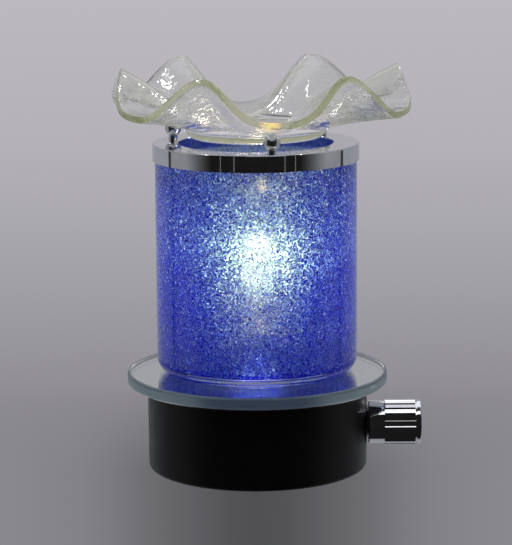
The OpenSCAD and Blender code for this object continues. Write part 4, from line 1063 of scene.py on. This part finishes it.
# %% Finish of every slot
FINISHES = {
    # slot: material, colour, drifted colour, metallic, roughness from and to, grain and its depth in mm
    # injection-moulded ABS with a fine spark texture: near black and satin, with no clear reflection
    "black_abs": ("moulded_black_abs", "#050507", "#070709", 0.0, 0.34, 0.42, 0.35, 0.006,
                  EVEN, SATIN_GLOSS),
    # zinc-plated steel screws: pale metal with a fine random scratch
    "steel": ("zinc_plated_screws", "#a9abb0", "#b9bbc0", 1.0, 0.25, 0.4, 0.3, 0.004),
    # closed-cell foam, cut from sheet: charcoal and dead matt, with a skin of open bubbles
    "foam_pad": ("closed_cell_foam", "#18181a", "#222224", 0.0, 0.85, 0.95, 0.5, 0.1),
    # aluminium pressed from sheet: pale, with a soft sheen
    "pressed_aluminium": ("pressed_aluminium", "#c3c5c9", "#d0d2d5", 1.0, 0.25, 0.38, 0.4, 0.006),
    # unglazed steatite, pressed and fired: dry off-white ceramic with a sugary grain
    "ceramic": ("unglazed_steatite", "#e3dccb", "#ece6d8", 0.0, 0.7, 0.85, 0.4, 0.02),
    # brass strip, stamped and bent: yellow metal that is half dulled
    "contact_brass": ("stamped_brass", "#c79b45", "#d6ae5c", 1.0, 0.22, 0.38, 0.4, 0.004),
    # zinc-plated sheet steel, bent: cool grey with a broad soft shine
    "zinc_steel": ("zinc_plated_sheet", "#a4a8ad", "#b4b8bc", 1.0, 0.28, 0.42, 0.6, 0.004),
    # glass-fibre laminate under a printed solder mask: deep green and glossy
    "board_laminate": ("solder_masked_laminate", "#134b2c", "#185936", 0.0, 0.3, 0.4, 0.5, 0.01),
    # enamelled copper wire, wound: red-brown, with a shine broken up by the turns
    "copper_wire": ("enamelled_copper_winding", "#8f4a1c", "#a9602a", 0.75, 0.25, 0.35, 0.5, 0.2, BRUSHED),
    # film capacitor dipped in resin: mustard, glossy and a little lumpy
    "film_capacitor": ("dipped_film_capacitor", "#b98d1c", "#c79b2a", 0.0, 0.25, 0.35, 1.5, 0.03),
    # epoxy moulded round a chip: dull black with a fine grain
    "black_epoxy": ("moulded_epoxy", "#151517", "#1b1b1e", 0.0, 0.5, 0.6, 0.25, 0.01),
    # ceramic resistor dipped in lacquer: beige, with a soft gloss
    "resistor_body": ("lacquered_resistor", "#b9986a", "#c7a97e", 0.0, 0.3, 0.4, 0.8, 0.02),
    # phenolic resin, moulded: dark brown and half matt
    "phenolic": ("moulded_phenolic", "#3a2a20", "#463327", 0.0, 0.45, 0.55, 0.3, 0.01),
    # silicone sleeve, extruded: off-white and rubbery
    "lead_insulation": ("silicone_sleeve", "#cfcabd", "#dad6ca", 0.0, 0.55, 0.65, 0.4, 0.01),
    # brass blades, blanked and brushed lengthwise: pale yellow with a long thin shine
    "blade_brass": ("blanked_brass_blades", "#cdb673", "#d8c48a", 1.0, 0.18, 0.3, 0.5, 0.004, BRUSHED),
    # chrome on polished plastic: a cool, almost black and white mirror with a trace of orange peel
    "knob_chrome": ("chrome_plated_knob", "#d8dae0", "#e2e4e9", 1.0, 0.05, 0.1, 1.2, 0.001),
    # chrome on pressed steel: the same mirror, flatter and sharper
    "ring_chrome": ("chrome_plated_ring", "#d6d8dc", "#e0e2e6", 1.0, 0.03, 0.07, 2.5, 0.001),
}
materials = {slot: solid_finish(*values) for slot, values in FINISHES.items()}
materials.update({"mirror_glass": mirror_glass, "shade_glass": shade_clear, "lens_glass": lens_glass,
                  "fuse_glass": fuse_glass})
print(len(materials), "finishes")

# %% [markdown]
# ## Lamp
# The lamp is a halogen capsule in a glass reflector with a pressed front glass. A capsule that really lit
# the scene would be noisy, because its light has to find its way out through glass. So five small plain
# lamps stand for it: a broad glow in the reflector's mouth, a hard white glare at its front glass, a warm
# glow behind it, a glint high on the back wall of the shade, and a cone of light that falls on the mirror
# in front. The capsule and the reflector still glow for the eye, but the capsule is dark to matt rays, so
# that its light isn't counted twice.

# %% Lamp glass
CAPSULE_BRIGHT = 6.0
REFLECTOR_ROUGH, FACET_MM, FACET_DEPTH_MM = 0.16, 4.0, 0.4
REFLECTOR_GLOW, REFLECTOR_LEAK, REFLECTOR_SHADOW = 0.2, 0.7, "#7f86e6"


def lit_capsule():
    """Quartz capsule, drawn and sealed, with a white-hot filament in it: dark to matt rays."""
    material, tree = new_material("lit_quartz_capsule")
    matt = add_node(tree, "ShaderNodeLightPath", None, None, "Is Diffuse Ray")
    seen = add_node(tree, "ShaderNodeMath", {"operation": "SUBTRACT"}, {0: 1.0, 1: matt})
    power = add_node(tree, "ShaderNodeMath", {"operation": "MULTIPLY"}, {0: seen, 1: CAPSULE_BRIGHT})
    light = add_node(tree, "ShaderNodeEmission", None, {"Color": hex_linear("#ffe2b0"), "Strength": power})
    show(tree, pass_lamps(tree, light, "#ffffff"))
    material.cycles.emission_sampling = "NONE"
    return material


def dichroic_glass():
    """Pressed reflector with a dichroic coat: a faceted mirror that leaks light out of its back."""
    material, tree = new_material("dichroic_reflector_glass")
    facets = add_node(tree, "ShaderNodeBump", None, {
        "Height": surface_noise(tree, FACET_MM, detail=0.0), "Distance": FACET_DEPTH_MM * MM,
        "Strength": 1.0})
    mirror = add_node(tree, "ShaderNodeBsdfPrincipled", None, {
        "Base Color": hex_linear("#dfe4ee"), "Metallic": 1.0, "Roughness": REFLECTOR_ROUGH,
        "Normal": facets})
    light = add_node(tree, "ShaderNodeEmission", None, {
        "Color": hex_linear("#ffe9d2"), "Strength": REFLECTOR_GLOW})
    both = add_node(tree, "ShaderNodeAddShader", None, {0: mirror, 1: light})
    clear = add_node(tree, "ShaderNodeBsdfTransparent", None, {"Color": hex_linear("#ffffff")})
    leaky = add_node(tree, "ShaderNodeMixShader", None, {0: REFLECTOR_LEAK, 1: both, 2: clear})
    show(tree, pass_lamps(tree, leaky, REFLECTOR_SHADOW))
    material.cycles.emission_sampling = "NONE"
    return material


materials["capsule_glass"] = lit_capsule()
materials["reflector_glass"] = dichroic_glass()
print("capsule shines at", CAPSULE_BRIGHT, "and the reflector at", REFLECTOR_GLOW)

# %% Lamp light
LAMPS = {
    # name: brightness, radius in mm, then mm to the side, to the front and above the lamp's face,
    # colour, and the width of its cone in degrees
    "halogen_glow": (20.0, 12.0, 0.8, 0.0, -5.8, "#fff8ea", None),
    "lens_glare": (38.0, 4.5, 2.0, 0.0, -1.6, "#fffaf0", None),
    "capsule_glow": (4.5, 5.5, -2.0, 0.0, -18.5, "#ffd8a4", None),
    "back_wall_glint": (110.0, 0.95, 2.5, 0.0, 28.6, "#ffdca8", None),
    "reflector_spill": (300.0, 2.5, 0.0, 31.0, -19.4, "#fff4e0", 66.0),
}


def bulb_light(name, brightness, radius, aside, ahead, above, code, cone):
    """A small sphere of light that rides on the lamp, open all round or in a cone that faces down."""
    data = bpy.data.lights.new(name, "SPOT" if cone else "POINT")
    if cone:
        data.spot_size = math.radians(cone)
        data.spot_blend = 1.0
    data.shadow_soft_size = radius * MM
    data.energy = brightness * 4 * math.pi ** 2 * data.shadow_soft_size ** 2
    data.color = hex_linear(code)[:3]
    light = bpy.data.objects.new(name, data)
    light.location = LAMP + Vector((aside, -ahead, above)) * MM
    bpy.context.scene.collection.objects.link(light)
    light.parent = frame["bodies"]["bulb"]
    light.visible_camera = False
    print(name, round(data.energy * 1000, 1), "mW of plain light")


for name, values in LAMPS.items():
    bulb_light(name, *values)

# %% [markdown]
# ## Dress the solids
# Every solid whose shape is right stays, and takes the finish of its slot. The record of the solid model
# says which slot each node belongs to, so one loop dresses them all.

# %% Assign the finishes
slots = {part["node"]: part["material_slot"] for part in frame["record"]["subparts"]}
for node, part in frame["nodes"].items():
    if node not in rebuilt:
        for place in part.material_slots:
            place.material = materials[slots[node]]
print("dressed", len(frame["nodes"]) - len(rebuilt), "solids")
